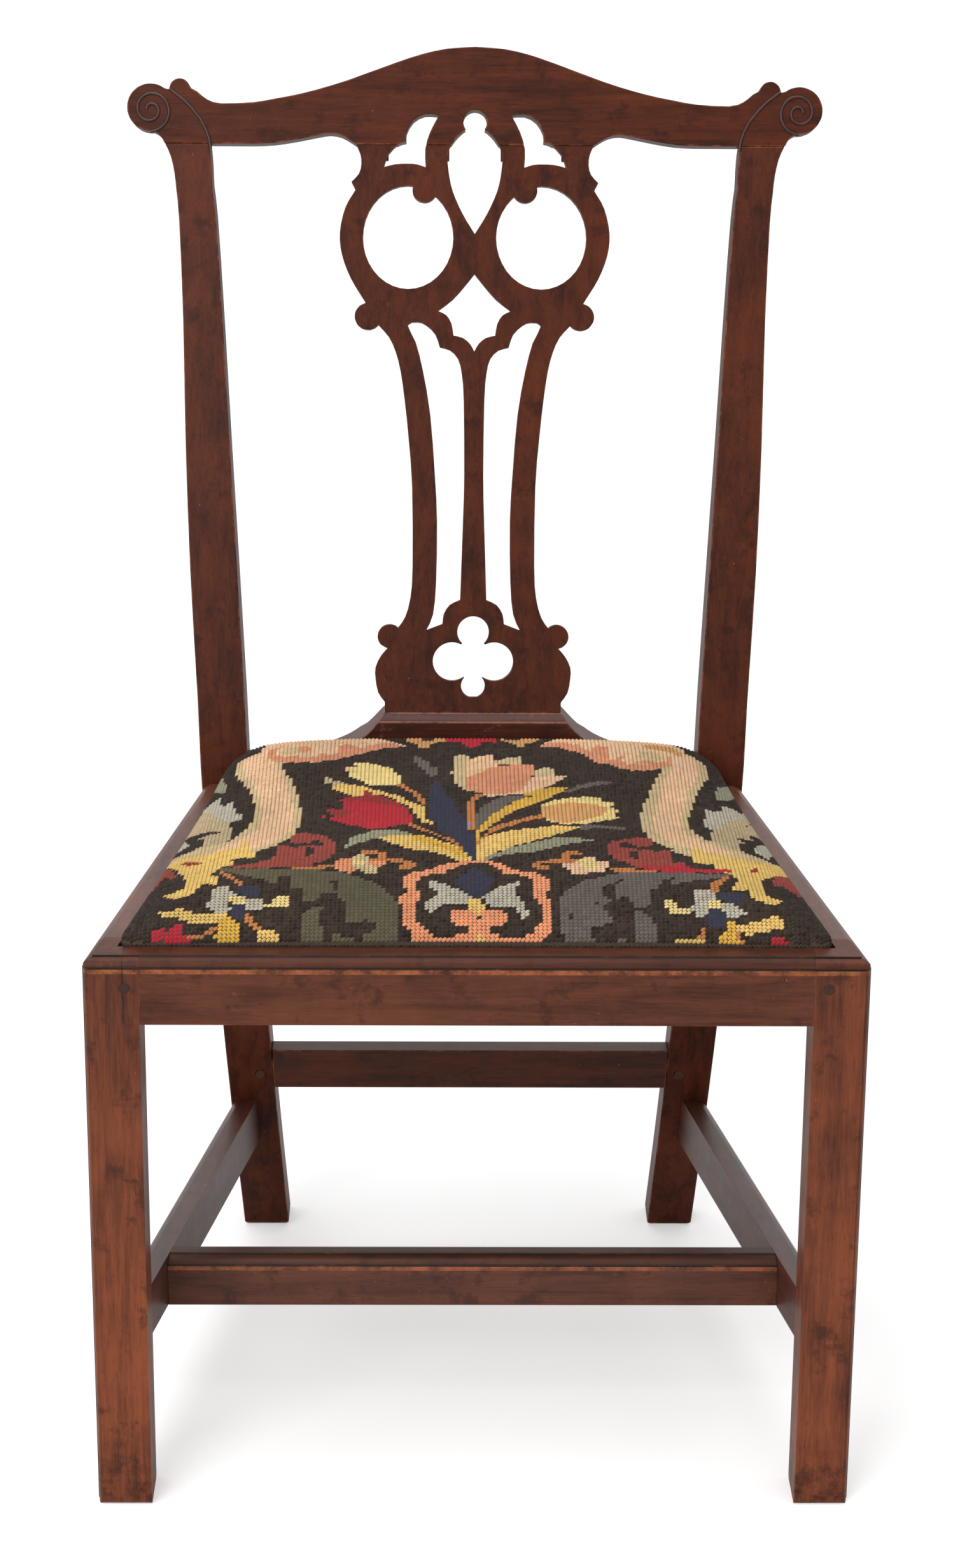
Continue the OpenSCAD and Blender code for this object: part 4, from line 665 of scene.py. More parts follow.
# The pattern, drawn in stitches from the middle of the seat to the right and to the
# back: scrolled bands, tulips and leaves. Later shapes are worked over earlier ones.
PATTERN = [
    # Leaves beyond the left band
    ("oat", "-73.5,33 -71.5,22 -69,26 -64.3,25.5 -63.8,20 -62.5,18 -61,19 -59.7,18 -59.5,14 -58.5,10.5"
     " -57.5,9 -57.3,5 -60,4.5 -60,2 -59.2,1 -59.3,-9 -61,-10.5 -76,-11 -77,-5 -76,5 -74.5,14"),
    ("silver", "-69,26.2 -64.3,25.5 -63.8,20 -62.5,18 -61,19 -59.7,18 -59.5,14 -58.5,10.5 -57.5,9 -57.3,5"
     " -59.5,4.8 -62,7.5 -64.5,13 -66.5,18 -69,22.5 -70.5,27 -72,32 -72.5,36 -71,30"),
    ("ground", "-75.5,12 -73,8.5 -71,7 -70.3,5 -68,4 -66,3 -64,1.8 -62.8,0.5 -62.2,-1.3 -63.2,-1.5 -64.5,-0.3"
     " -66,0.5 -67,0 -67.8,-0.8 -66.5,-2 -65.6,-3 -65.6,-7.5 -68,-8.5 -70.5,-8.8 -73,-8 -74.8,-5 -76,-1"),
    ("silver", "-75,9 -72.5,6 -71.5,2 -70.3,-1 -70.3,-3.5 -72.5,-3.3 -74.3,-1 -75.2,3"),
    ("sage", "-69,46 -69,42 -68,36 -66,32 -65,29.5 -63,27 -63,31 -63.4,33.5 -64.5,37 -65.5,42 -67,47"),
    # Leaves beyond the right band
    ("oat", "57.3,12.5 60,13.5 61.8,15 62.8,20 65.5,20.5 68,21 70,26 72,33 73.5,26 74.5,16 73.5,8 70.5,6.5"
     " 69,5.8 68,4 69,1 68,0 65,-1.2 63.5,-3 66,-4 64,-7 63.5,-10 65,-13 72,-13 77,-11 77.5,-14 57,-14"
     " 57,-4.5 58,-2.5 58.2,0 57,-0.5 56,1.5 56,4.5 57,7 57,10"),
    ("silver", "57.3,12.5 60,13.5 61.8,15 62.8,20 65.5,20.5 68,21 70,26 72,33 71.5,26 68.5,18 66,14 63.5,9.5"
     " 61,5 60,1 58.5,-0.5 57,-0.5 56,1.5 56,4.5 57,7 57,10"),
    ("ground", "72.8,24 71.8,20.5 70.5,16.5 69,13.5 68,11 68.3,13 70,16.5 71.3,20.5 72.3,24.5"),
    ("ground", "74.5,14 72,8 70,6 69,5.8 68,3.5 69.3,1 68.5,-0.3 66,-0.8 63.7,-3 66.5,-4.3 65,-6 63.5,-9"
     " 65,-12.5 69,-13 73,-11 74.5,-6 75.5,0 75.5,7"),
    ("silver", "74.2,7 72,3 70.5,0 69,-2.5 68.3,-6 68.3,-9.5 70,-10.5 72,-11.3 72,-8 73.5,-4 75.2,2"),
    ("sage", "69,47 67.5,42 66,38 64,34 62.5,32 61.8,29.5 61,26 60.8,22 63.5,23.5 66,27.5 68,33 70.5,39"
     " 71,45"),
    # Red leaves at the sides
    ("brick", "-77.5,-12 -75,-15 -73,-19 -72,-23 -71.3,-26 -71.5,-27.5 -73,-26 -75,-22.5 -76,-26 -77,-29"
     " -79,-27 -79,-20"),
    ("brick", "71.5,-24.5 74,-22 76,-18 77.5,-13 79,-16 79.5,-24 78.5,-29 77,-34 75,-33 73,-31 72,-32"
     " 70.5,-33 70,-30 71,-27"),
    # Left band: khaki edges, peach middle, yellow end
    ("khaki", "-61,45 -61,41 -60.5,36 -59.3,31 -58.2,29 -57.7,27 -57,25 -56.3,23 -56,20.3 -55.2,19.5 -55,14.5"
     " -54.2,13.5 -54,10 -54,2 -55,0 -55,-2.5 -56,-4 -57,-6 -58,-8 -59,-9.5 -61,-10 -66,-10 -72,-9 -76,-8"
     " -76.8,-10 -75.5,-13 -73.5,-17 -60,-24 -52,-22 -51,-20 -49,-19.5 -47,-18.5 -46.8,-17 -45,-15.5"
     " -44,-14 -43.2,-13 -42.6,-11 -42.5,-8 -41.8,-7 -41.5,-4 -41.5,0 -41.8,5 -42.6,6 -42.6,10 -43,12"
     " -43.8,15 -44,18 -44.8,20 -45.5,24 -46.5,26 -47.5,30 -48.5,32 -48,35 -51,39 -52,45"),
    ("peach", "-58.5,45 -58.5,38 -57.5,32 -55.5,26 -54,20 -53,14 -52,8 -51.5,0 -52.5,-5 -56,-10 -60,-12.5"
     " -63,-16 -58,-18 -50,-18.5 -46.5,-14 -44.5,-10 -43.8,-4 -43.8,2 -44.3,8 -45.5,15 -46.6,21 -48,28"
     " -49.5,35 -52,40 -53,45"),
    ("yellow", "-76.8,-10 -72,-12 -67,-15 -62,-16 -56,-16 -55.6,-12 -54,-12 -54,-17 -53,-19 -52,-22 -52,-23"
     " -51.8,-25.4 -53,-25 -55,-24 -57.5,-23.8 -57.5,-25 -56.5,-26 -56.5,-28 -58,-28 -60,-27.8 -60.5,-29.5"
     " -62,-31 -61,-33 -60.2,-35 -59.8,-40 -61.5,-39.5 -63,-38 -63.7,-38 -64,-39.5 -64.8,-41 -65,-43"
     " -66,-44 -68,-44.5 -70,-44.3 -71,-42.5 -72.3,-41 -72.8,-39.2 -70.5,-39.2 -69.5,-38.5 -68.3,-38.3"
     " -68,-36 -68.3,-33 -68.8,-27 -70,-26.5 -71,-23.5 -71.5,-21 -73,-18 -75,-14"),
    ("oxblood", "-70.7,-17 -69.5,-17.3 -67,-19.8 -65,-21.8 -65.3,-22.6 -68,-21.2 -70,-18.8"),
    ("ground", "-62.3,-31.2 -61,-31.5 -60,-33 -60,-34.6 -61,-34.3"),
    # Right band
    ("khaki", "60,43 60,37 59.8,34 58.8,32 58,29 57.2,26 56,22.5 55.7,20.5 54.8,19 54.6,15.5 53.8,14"
     " 53.6,10.5 52.8,9 52.5,5 52.3,0 52.6,-5.5 53.5,-7 55,-8.5 56,-10.8 57,-10 60,-12 66,-14 72,-13 77,-9"
     " 77.3,-12 76.3,-16.5 70,-22 60,-26 51.5,-24.3 50,-24.3 48,-23 46.5,-21.5 45.5,-20.5 43.5,-18 42,-16"
     " 41.2,-14 41,-10.5 40.2,-10.5 40,-9 40,0 40.5,2.5 41.2,4 41.2,8 41.8,9.5 42.7,13 43.3,14.5 43.5,17"
     " 44.6,21 45.3,23.5 45.7,26 46.6,28 47.5,31.5 50,34 50,44 56,45"),
    ("peach", "57.5,44 57.5,36 56,30 54.5,25 53,20 52.3,14 51.8,9 50,4 50,-5 52,-10 57,-13.5 63,-16"
     " 60,-19 52,-19 46,-16 43.3,-10 43.3,0 44,6 45,10 46,15 46.6,20 47.6,25 49.5,31 50,44"),
    ("yellow", "77.2,-9.5 73,-14 68,-17 60,-19.5 54,-18.5 53,-14.5 52.3,-14.5 52,-18 50.5,-22 51.5,-24.3"
     " 50.8,-26 50.5,-28.6 53,-28 56.7,-26.8 55.8,-29 55.5,-31 58,-32.5 59.5,-33 61.4,-35 60.5,-37"
     " 59.8,-38.5 59.5,-40 58.4,-42.2 61.5,-41.8 63.5,-40.8 63.3,-45 64.5,-46 66,-46.3 67,-47.3 68.5,-47.5"
     " 70,-46 70.5,-44 71.8,-41.9 69,-43.5 68,-42.3 67,-41.5 66.5,-40 66.6,-36 66.5,-33 67.5,-31"
     " 68.5,-29.5 69.8,-28 70.3,-26.5 71,-25 73,-23 75,-20 76.3,-16.5 77.3,-12"),
    ("oxblood", "65.2,-27.3 65.5,-25 66.8,-22.8 67.5,-22.5 67.3,-24.5 66,-26.5"),
    # Scrolls at the back, left and right
    ("peach", "-17,43 -19,42.5 -22,42.2 -25,40 -28,37.5 -31,35.5 -34,33.5 -37,33 -39,32.2 -42,32.7 -45,33.5"
     " -48,34.5 -50,36 -52,38 -53,41 -54,46 -52,52 -44,56 -30,55 -24,51 -18,45"),
    ("salmon", "-17,43 -19,42.5 -22,42.2 -25,40 -28,37.5 -31,35.5 -34,33.5 -39,32.2 -45,33.5 -48,34.5"
     " -51,37.5 -52.3,41 -51.5,44.5 -48,46 -50,43 -50,40 -47.5,38 -44,37.5 -42.5,36 -39.5,35.5 -38,38.5"
     " -35.5,36.5 -33.5,39 -34.5,43 -32,45.5 -30,43 -28,42 -26,44 -22.5,46 -20.5,46 -19,44.5"),
    ("khaki", "-47.5,43.5 -44.5,43.5 -43.5,41.5 -44,39 -46,38.5 -49.3,40 -48.5,42"),
    ("salmon", "-43.5,43.5 -41.5,43.5 -41.2,40 -43,38.5 -43.6,40.5"),
    ("khaki", "-44,37 -42.5,35.5 -40.8,38 -41,39"),
    ("peach", "17,43.5 19,43.2 21.5,43.2 24,40.5 26,40 27.5,38 29,35.5 30.5,34 31,31.5 33,31.5 34,30"
     " 36.5,28.5 39,27.3 41,27.8 43.5,28.8 46,30.8 47.5,31.5 50,34 50.5,38 53,42 54,48 48,54 34,56 22,52"
     " 18,46"),
    ("salmon", "17,43.5 21.5,43.2 24,40.5 26,40 29,35.5 31,31.5 33,31.5 36.5,28.5 39,27.3 43.5,28.8 47.5,31.5"
     " 50,35 50.5,39 49,41 48.8,36.5 45.5,34.8 42,34.5 40,33 38.5,31 37,33.5 38.5,36.5 36.8,36.8"
     " 35.5,33.5 34.5,34.5 34,38 33.5,44 31,45 30,40.5 29,40 27,44 24,47 20.5,47.5 18,46"),
    ("khaki", "39,36 41,33 44.5,33.4 43.5,31.8 41,31.6 39,34"),
    ("khaki", "42.5,41 45,42 47.5,40.5 48.5,39 48,37 46,35.5 43,35.5 41.5,37.5"),
    ("tan", "43.5,43.5 46,42.5 49,43 52.5,42 53,45 50,47 45,47.5 43,46"),
    # Crest at the middle of the back
    ("tan", "-17,48 -15.5,46.5 -14,45 -14,42.3 -12.5,42.5 -11.5,41.5 -11,44.5 -10,45.5 -9,46.5 -7,47.5"
     " -7,52 -9,55 -16,55 -17.5,51"),
    ("ground", "-13,48.5 -9.5,48.5 -9.5,52 -13,52"),
    ("tan", "7,48 9,46.5 10.5,45 11.5,43.3 13,43.3 13.2,45.5 15,46.8 16.5,48.5 17,54 7,54"),
    ("ground", "8.3,49.5 12,49.5 12,53 8.3,53"),
    ("crimson", "-7,47 -6,46 -5,47.5 -3,47 -2,44 -0.5,41.5 0.5,43 2,45 2.2,47.5 4.5,46.8 5.5,46 6.5,48"
     " 6.3,56 2,59 -2,59 -7,56"),
    # Curled leaves beside the bouquet
    ("brick", "-43.5,-13 -42,-11.8 -40,-12.5 -38,-14 -36,-15.5 -34.5,-17.5 -33.5,-20 -32.6,-24.5 -33.2,-27"
     " -34.5,-29 -36,-30.5 -38,-31.5 -38.5,-32.8 -44,-33.5 -48,-33.3 -52,-32.3 -55,-31 -57,-30 -59,-27.8"
     " -57,-28.4 -54,-29.3 -51.5,-29 -49.5,-27.9 -48,-27.8 -47.3,-25 -47.3,-20 -46.8,-18.8 -45,-19.5"
     " -43.5,-17"),
    ("ground", "-45,-20 -43.5,-17.5 -43,-18.5 -41.5,-19.3 -39.5,-19.6 -38.6,-17.8 -37.5,-18 -36.4,-20"
     " -36.5,-22 -37.5,-21.6 -39,-20.4 -40.5,-21.5 -41.5,-20.8 -42.7,-22.3 -44,-20.8"),
    ("ground", "-40,-22.5 -38.8,-21.5 -38.2,-24 -38.5,-27.5 -39.5,-28.2 -40,-25"),
    ("rust", "-43,-33 -38,-32.7 -33.2,-32 -33,-33.2 -38,-34 -42.5,-34"),
    ("brick", "42.2,-15 40,-14.8 37,-16.2 34.5,-18 32.5,-19.5 31.2,-22 31,-26.5 32.5,-29 34.5,-30.2 36,-31.8"
     " 40,-34 44,-34.6 50,-34.8 55,-33.6 57.5,-31.8 60,-30.8 60.6,-29.2 58,-29.3 56,-30.6 53,-32.2"
     " 49.8,-32 48.8,-29.5 47.5,-29 46.5,-30 46.2,-26 46.4,-21 44.5,-22.3 42.5,-20"),
    ("ground", "34.3,-20.5 35.5,-19.4 37,-20.2 38,-21.8 39.5,-21.5 42,-19.5 44,-20 46.8,-20.3 43.5,-22.8"
     " 42,-24 41,-22.3 39.8,-23 38.3,-24.5 37.2,-22.3 36,-23 34.6,-24"),
    ("ground", "36.4,-25 38.2,-25 38.3,-29.5 37.2,-29 36.2,-27.5"),
    ("crimson", "36,-31.5 41,-31.5 46.5,-32.3 48,-29.3 49,-30 49.8,-32 53,-32.2 56,-30.6 58,-29.3 60.6,-29.2"
     " 60,-30.8 57.5,-31.8 55,-33.6 50,-34.8 44,-34.6 40,-34"),
    ("rust", "30.5,-32.6 33,-33.4 37,-33.5 42,-34 42,-35 36,-34.8 35,-35.3 34.5,-34.8 31,-34.4"),
    # Olive leaf in front on the left, grey leaf in front on the right
    ("olive", "-61,-29.3 -59,-28.9 -57,-30 -55,-31.3 -52,-32.5 -48,-33.6 -44,-33.9 -38,-34.3 -33,-34.8"
     " -30,-36 -27,-37.3 -25,-39 -23,-40.5 -21.5,-42.5 -20,-45 -18.6,-45.8 -18.3,-50 -18,-61 -26.5,-61"
     " -26,-57.6 -24,-57 -22.6,-55 -22.4,-53.5 -24,-54 -25.5,-53 -27,-54 -29.8,-53.6 -29.5,-47.5 -31,-46.5"
     " -32,-44.6 -33.5,-43.5 -35.5,-43.8 -36,-45.5 -37,-47 -39,-47.4 -39.8,-46 -40,-42.5 -43,-42"
     " -43,-37.5 -45.5,-37 -46,-38 -46.5,-40 -48,-40 -48.3,-38.7 -50.5,-38.2 -53,-37 -55,-35.5 -57.5,-33"
     " -60,-30.8"),
    ("ground", "-34,-38.6 -32,-38.6 -31.7,-40.5 -31.8,-43.5 -32.8,-43 -32.8,-40.5 -34,-39.8"),
    ("olive", "-37.5,-49 -36,-48.7 -35.3,-49.5 -36,-51.5 -35.5,-55 -35,-61 -40.3,-61 -40.5,-54 -40,-51.5"
     " -38.6,-50.5"),
    ("olive", "-33,-57.2 -31.8,-57 -31,-58 -28,-58.3 -28,-61 -33,-61"),
    ("slate", "60,-31.5 57,-33 54,-34.6 50,-35.1 44,-35 36,-35.2 32,-35.6 29,-37 26,-38 24,-39.3 22,-41.3"
     " 20,-44 19,-47 18.6,-52 18.6,-56 20,-57 20,-61 27,-61 26.8,-58.3 24.8,-57 26.3,-56.5 26,-55 29,-54.5"
     " 31,-54 30.8,-52 29.5,-50 28,-49 30.5,-47.5 30.8,-46 28.8,-45 29,-42 30.5,-40.3 33.5,-38 33.8,-38.4"
     " 31.8,-40.4 31.8,-46.3 34,-44 35.2,-46 36.2,-48.5 39.2,-48.5 40,-46 40,-42.5 41.2,-41.8 42.2,-43.3"
     " 42.6,-38.5 44.3,-37.7 46.2,-36.8 45,-38.6 45.3,-40.3 47.5,-39.5 50,-38.3 54,-37.6 57,-35.6 59.5,-33"),
    ("ground", "21.2,-51 22.2,-51 22.2,-53 21.2,-53.5"),
    ("ground", "26.6,-47.6 27.8,-46.8 28.3,-47.8 27,-48.4"),
    ("slate", "35.8,-50 36.8,-49.8 39,-51 40.2,-54 41.3,-55.5 41.4,-61 35.8,-61"),
    ("slate", "31.8,-58.5 33.5,-58 35.5,-59 35,-61 31.5,-61"),
    # Small flowers
    ("coral", "-33,-30 -31.5,-29.2 -29.2,-28.8 -25,-29 -21.2,-29.5 -21,-31.5 -22.5,-33 -24,-33 -28,-33.5"
     " -28.5,-35.5 -30,-35.5 -31.5,-34.5 -33,-33.5"),
    ("khaki", "-29.2,-28 -28,-27.3 -26,-27 -25.2,-28.5 -25.5,-30.5 -24.5,-31.5 -23.2,-33 -23,-35.5"
     " -25.8,-35.5 -27,-34 -28.5,-32.5 -29,-31"),
    ("straw", "-29,-30 -26,-30.5 -26,-32.5 -28.5,-32"),
    ("rust", "-27.2,-25.2 -25.5,-25 -23,-25.5 -22,-26.5 -21.2,-26.5 -21.2,-29 -18.5,-29 -16.5,-29.8"
     " -15,-30.2 -14.2,-31.2 -14.2,-32.8 -15.5,-33.7 -17.8,-33.5 -18,-32.3 -19,-32 -17,-31.6 -17.5,-31"
     " -19.5,-30.6 -23,-30.2 -25,-30 -24.6,-29 -23.2,-28.5 -23,-27 -24.5,-27.3 -25.8,-27.3 -27,-26.5"),
    ("peach", "20,-31 22,-30.8 24,-29.6 25,-28 26.2,-27.8 28,-28.3 28.3,-30.3 31,-30.2 31.2,-32 30.5,-33.5"
     " 30.5,-35 26,-35.5 24,-36 22,-35.5 21.5,-34 20.5,-33"),
    ("straw", "24.5,-29 28.3,-28.5 28,-31 29.5,-33 27,-34 25,-33 24,-31"),
    ("rust", "19.8,-26.2 21,-25.4 23,-25.3 24.3,-25.8 25,-27 24,-27.6 22.5,-27 21.8,-27.5 22.3,-28.6"
     " 23,-29.3 24,-29.6 22,-31 20,-31 17,-30.8 15.2,-30.8 14.6,-31.7 15.5,-32.2 17.5,-32.2 17.3,-33.5"
     " 15.5,-34 13.6,-33.5 13,-32.2 13.3,-30.8 15,-30 17.5,-29.3 19.7,-29.2"),
    # Corner flowers, left and right
    ("silver", "-60.8,-42.5 -59.5,-41.2 -56.5,-41.2 -56.6,-43 -55.3,-44.5 -55,-45 -57,-45.5 -57,-48"
     " -56.3,-50 -57.5,-51.3 -59.5,-51 -60.8,-50.3 -62,-48.5 -61.5,-46.7 -60.5,-46 -61.3,-44"),
    ("silver", "-55,-45.3 -53.3,-45.5 -52.7,-46 -50,-45.6 -48.6,-47 -48.7,-48.5 -50,-50.2 -53,-50"
     " -54,-48.3 -54.5,-47.5 -53.5,-47"),
    ("straw", "-56.5,-44.8 -53.6,-44.8 -53.4,-47.5 -55.5,-47.7 -57.3,-47.2 -56.8,-46"),
    ("navy", "-55.3,-43.8 -54.8,-41.2 -53,-40.6 -51,-40.6 -50.3,-42 -50.3,-44.5 -51.5,-45.3 -53,-45.3"
     " -54,-44.8"),
    ("navy", "-55,-47.9 -53.3,-47.7 -52.8,-50 -52.5,-52 -53.6,-53 -55,-53 -56.6,-51 -56,-49"),
    ("straw", "-49,-49 -48.3,-48 -46.6,-47.5 -46.5,-45.8 -45.2,-44.8 -43.8,-44.8 -43.2,-46 -42.5,-47"
     " -42.6,-48.5 -44,-49.4 -48.5,-49.4"),
    ("rust", "-60.5,-31 -59.5,-31.2 -57.5,-34 -56.5,-36 -55,-38.5 -53.7,-39 -53.7,-41 -55.3,-41.2"
     " -55.6,-39.5 -57.5,-37 -59,-34"),
    ("yellow", "-72.5,-50.5 -71,-49.8 -68,-49.3 -66,-50 -64,-50.8 -62,-51.5 -57,-51.4 -57,-53 -60,-54"
     " -64,-54.4 -65.3,-53.6 -67.5,-53.2 -69,-52 -71,-51.5 -72.3,-51.8"),
    ("gold", "-58.2,-52 -56.5,-51.5 -55.8,-53.2 -54.5,-54 -54,-56 -53.7,-61 -59.3,-61 -59.5,-57.5"
     " -58.6,-55.5 -58.5,-53.5"),
    ("rust", "-66.5,-57.3 -62,-56.5 -60,-55 -58.7,-54.8 -58.8,-56 -60.5,-57 -62.5,-57.5 -63,-58.4 -65,-58.2"),
    ("crimson", "-74.2,-57 -73,-56 -71.5,-55.3 -70,-55.7 -69,-54 -67.2,-53.7 -66.5,-55.5 -66.5,-57"
     " -65.5,-58 -64.5,-59 -70,-58.6 -72,-59.5 -73.5,-59"),
    ("rust", "-52.7,-51.5 -52,-51.3 -50.6,-53.5 -50.6,-54.3 -49.4,-55 -49.5,-56.5 -51,-55.5 -52.5,-53.5"),
    ("yellow", "-50,-56.5 -49.5,-55.8 -46.5,-55.7 -46.2,-56.6 -44.2,-56.8 -44.8,-58 -44,-61 -50.6,-61"
     " -50.3,-58"),
    ("silver", "50,-43 51.5,-41.5 53.8,-42 54.8,-43.5 55.3,-45 53.8,-46.3 53.5,-49.5 54,-50.5 53,-51.7"
     " 50.5,-52 49.6,-50.5 48.3,-48.8 50,-47.3 49.7,-45"),
    ("silver", "56.5,-47 58.5,-47.3 60.5,-48.5 62,-50 62,-51 60,-51.5 59,-52.2 57,-51.5 56,-49.5"),
    ("straw", "53.5,-46.2 56.4,-46.2 56.5,-49 53.5,-49"),
    ("navy", "55.5,-44 56.5,-43 60,-43 61.8,-44.5 61,-46.5 59.8,-47 58,-47 56.3,-46 55.5,-45"),
    ("navy", "54,-49.3 56.4,-49.3 57,-51.5 57.2,-53.5 55.6,-55 53.5,-54.8 52.3,-53 52.5,-51.5"),
    ("straw", "42.8,-45.5 45,-45.5 45.5,-46.5 46.5,-46.8 46,-48 45.3,-49 48,-49 49.3,-49.3 49.3,-50.7"
     " 44,-50.8 43.8,-49.5 42.8,-48.5"),
    ("rust", "59,-33 59.5,-34 58.5,-36.5 57.5,-38.5 56,-40.5 55.6,-43 54.5,-43.3 53.6,-41.5 54.5,-39.5"
     " 56,-38 57.5,-35"),
    ("yellow", "57.5,-54.5 61,-54 64,-53 66,-51.8 68.5,-51.2 69.8,-52 70.2,-53.5 69.8,-54.5 66,-56"
     " 62,-56.8 60,-56 57,-56"),
    ("gold", "57.7,-53 58.8,-53.3 59.2,-54.5 58.8,-56 59.5,-57 60.3,-61 55,-61 55,-57.5 56.6,-55.5 57,-54"),
    ("rust", "59,-55.6 60.2,-56 60.2,-57.5 61.5,-58 61.5,-59 60,-59 59,-57.3"),
    ("crimson", "67,-57.5 68.2,-56.8 70,-57 70.5,-58 72,-58.5 72,-59.5 66.8,-59.5"),
    ("rust", "53,-54.5 52,-56 51.8,-57.5 50.5,-58 50.5,-56.8 52,-54.8"),
    ("yellow", "44.5,-58.2 47,-57.6 50.5,-57.8 52,-58.5 52,-61 45.5,-61"),
    # Bouquet: leaves and stems
    ("sage", "-31.2,-24.2 -30.3,-24.2 -29.3,-22.3 -27,-21 -24.5,-19.5 -23.3,-18.7 -22,-18 -19.5,-17"
     " -17,-16.5 -14.5,-16.5 -16.5,-15 -19,-14.2 -21,-13.9 -23.5,-14 -25.5,-15 -27.5,-16 -29,-17"
     " -30.2,-18.3 -30.3,-21.5"),
    ("yellow", "-19.3,-16.8 -17,-16.5 -15,-16.5 -13,-17 -11,-17.8 -9.5,-18.8 -8,-20.3 -6.5,-21.5 -5,-22.8"
     " -4,-24 -3,-25.2 -2.5,-26.5 -2.3,-28 -1.4,-28.2 -1.4,-30 -5,-30.3 -5.2,-29 -7,-27.8 -9,-26.5"
     " -11,-25.6 -14,-24.8 -16,-23.8 -18,-22.8 -19.5,-21.5 -21.5,-20 -23.3,-18.8 -21,-17.7"),
    ("gold", "-15,-17 -13,-17.3 -10,-19 -8,-21 -5.5,-23 -3,-26 -1.6,-28.5 -2.5,-29 -5,-26.5 -7,-24.5 -9,-23"
     " -11.5,-21 -15,-19.5"),
    ("rust", "-16,-10.5 -15,-10.3 -13.5,-12 -12,-13.5 -9.5,-15.5 -8,-17.5 -5.7,-18.5 -5.3,-20.3 -4,-21.5"
     " -3.2,-23.5 -2.6,-24.5 -2.8,-25.5 -4,-24.8 -4.5,-22.5 -6,-20.8 -7.5,-19 -9,-17.5 -10.5,-16"
     " -12.5,-14.5 -14.5,-13 -16,-11.8"),
    ("sage", "0.5,-30.5 2.5,-30.3 4.5,-28.5 7,-27.2 10,-26.3 13.5,-25.6 16.5,-24.5 19,-23 22,-21.5"
     " 25.5,-20.5 28.3,-19.8 26,-18.8 24,-18 21,-17.7 19,-18 16.5,-19.2 14,-20.3 11,-21.8 8.5,-23.3"
     " 6,-25.3 3.5,-27.2 2,-29"),
    ("slate", "25,-10.6 26.5,-9.5 29,-9 32,-9 34,-9.5 36,-9.3 35.5,-10.8 33,-11 29,-11 27.5,-12.3"
     " 26.5,-13 24.5,-13"),
    ("yellow", "25,-10.5 25,-11.2 23.8,-13 21.5,-14.8 19.5,-16.5 17,-18 14.5,-19.5 12,-21 9.5,-22.5"
     " 7.5,-24 5.5,-25.5 3.5,-27 2,-29 1,-30.5 0,-30.5 0,-24 0.5,-20 2,-18 4,-16.5 6.5,-15 9.5,-14 13,-13"
     " 16,-12.2 18.5,-11.2 21,-10.7"),
    ("slate", "7,7.8 10,8.4 13.5,8.2 12.5,6.5 10.5,4.5 8.5,2.5 7,0 6,-1.5 5,-4 4,-6 3,-8 2.2,-10 1.2,-13"
     " 0.3,-14 -0.2,-11 -0.2,-7 0.6,-3.5 1.5,0 3,2.3 4,4.5 5.5,6"),
    ("gold", "18.5,14.3 23.2,14.3 22.5,13 21,10.5 19.5,8.5 17.8,6 15.8,4 13.5,2 11,0 9.3,-2.5 7.8,-5 6,-8"
     " 4.5,-10.5 3,-13 1.5,-15.5 0.8,-18 0.4,-22 -0.2,-22 -0.2,-15 0.8,-13.5 2,-10 3.5,-6.5 5,-3.5 6.8,0"
     " 9,3 11,5 13.5,7.5 12,9 13,10.5 15.5,11.5 17,13"),
    ("slate", "22.5,11.5 24,13.5 25.3,15.5 28,17.5 31,18.8 35,19.3 33.5,18 32,17 29.5,15.5 27,14 24.5,12"
     " 22.8,10.8"),
    ("rust", "15.7,-3.5 14,-5 11.5,-6.8 9.5,-8.5 7,-10 4.8,-11.3 3.2,-14 2.5,-16 1.5,-18 0.2,-20 0.2,-22.5"
     " 1,-20 2.5,-18.5 3.5,-16.5 5.5,-14 8,-12 10.5,-10.2 13,-8.2 15,-6.8 16.8,-6.2 17.2,-7 16,-5"),
    ("slate", "-15,37 -14,36 -13,33.5 -11.5,32 -11,29 -10.5,28 -9.3,27.5 -9.3,25 -9.5,21.5 -9.7,18"
     " -10,20.5 -11.2,22.5 -12.2,25 -13,27 -13.8,29 -14.5,31 -15,33.5"),
    ("navy", "-9.8,18 -8.8,17.5 -8.3,14.5 -7.5,12 -6.5,8 -5.5,5 -4.5,0 -3.5,-4 -2.5,-8 -2.3,-14 -0.5,-15.5"
     " -0.3,-20 -0.5,-26 -0.2,-30.5 -1.2,-30.5 -1.4,-28 -2.5,-26.5 -2.8,-24 -3.3,-22 -4.5,-20.5 -5.8,-18.5"
     " -7,-16.5 -8.5,-14.5 -9.2,-12 -9.2,-9.5 -10.5,-8.5 -11.4,-7 -11.4,2 -11.2,8 -11,13 -10.2,16"),
    ("rust", "0,9.5 1.7,9 1.5,6.5 0.5,4.5 0,2 -0.2,-6 -0.3,-13 -1,-14.8 -2.2,-14 -2.2,3 -1.3,4.5 -0.7,6.5"
     " -0.2,8"),
    ("violet", "-2,-10.2 -0.9,-10.2 -0.9,-12 -2,-12"),
    # Bouquet: left leaf, crimson tulip, straw tulip
    ("oat", "-38,23.5 -37.2,22.8 -36,21.5 -35,19.8 -33,18.5 -30.5,16.8 -30.5,15.5 -35,15.5 -35.3,17.5"
     " -36.5,18.5 -37.3,20.5 -37.2,22"),
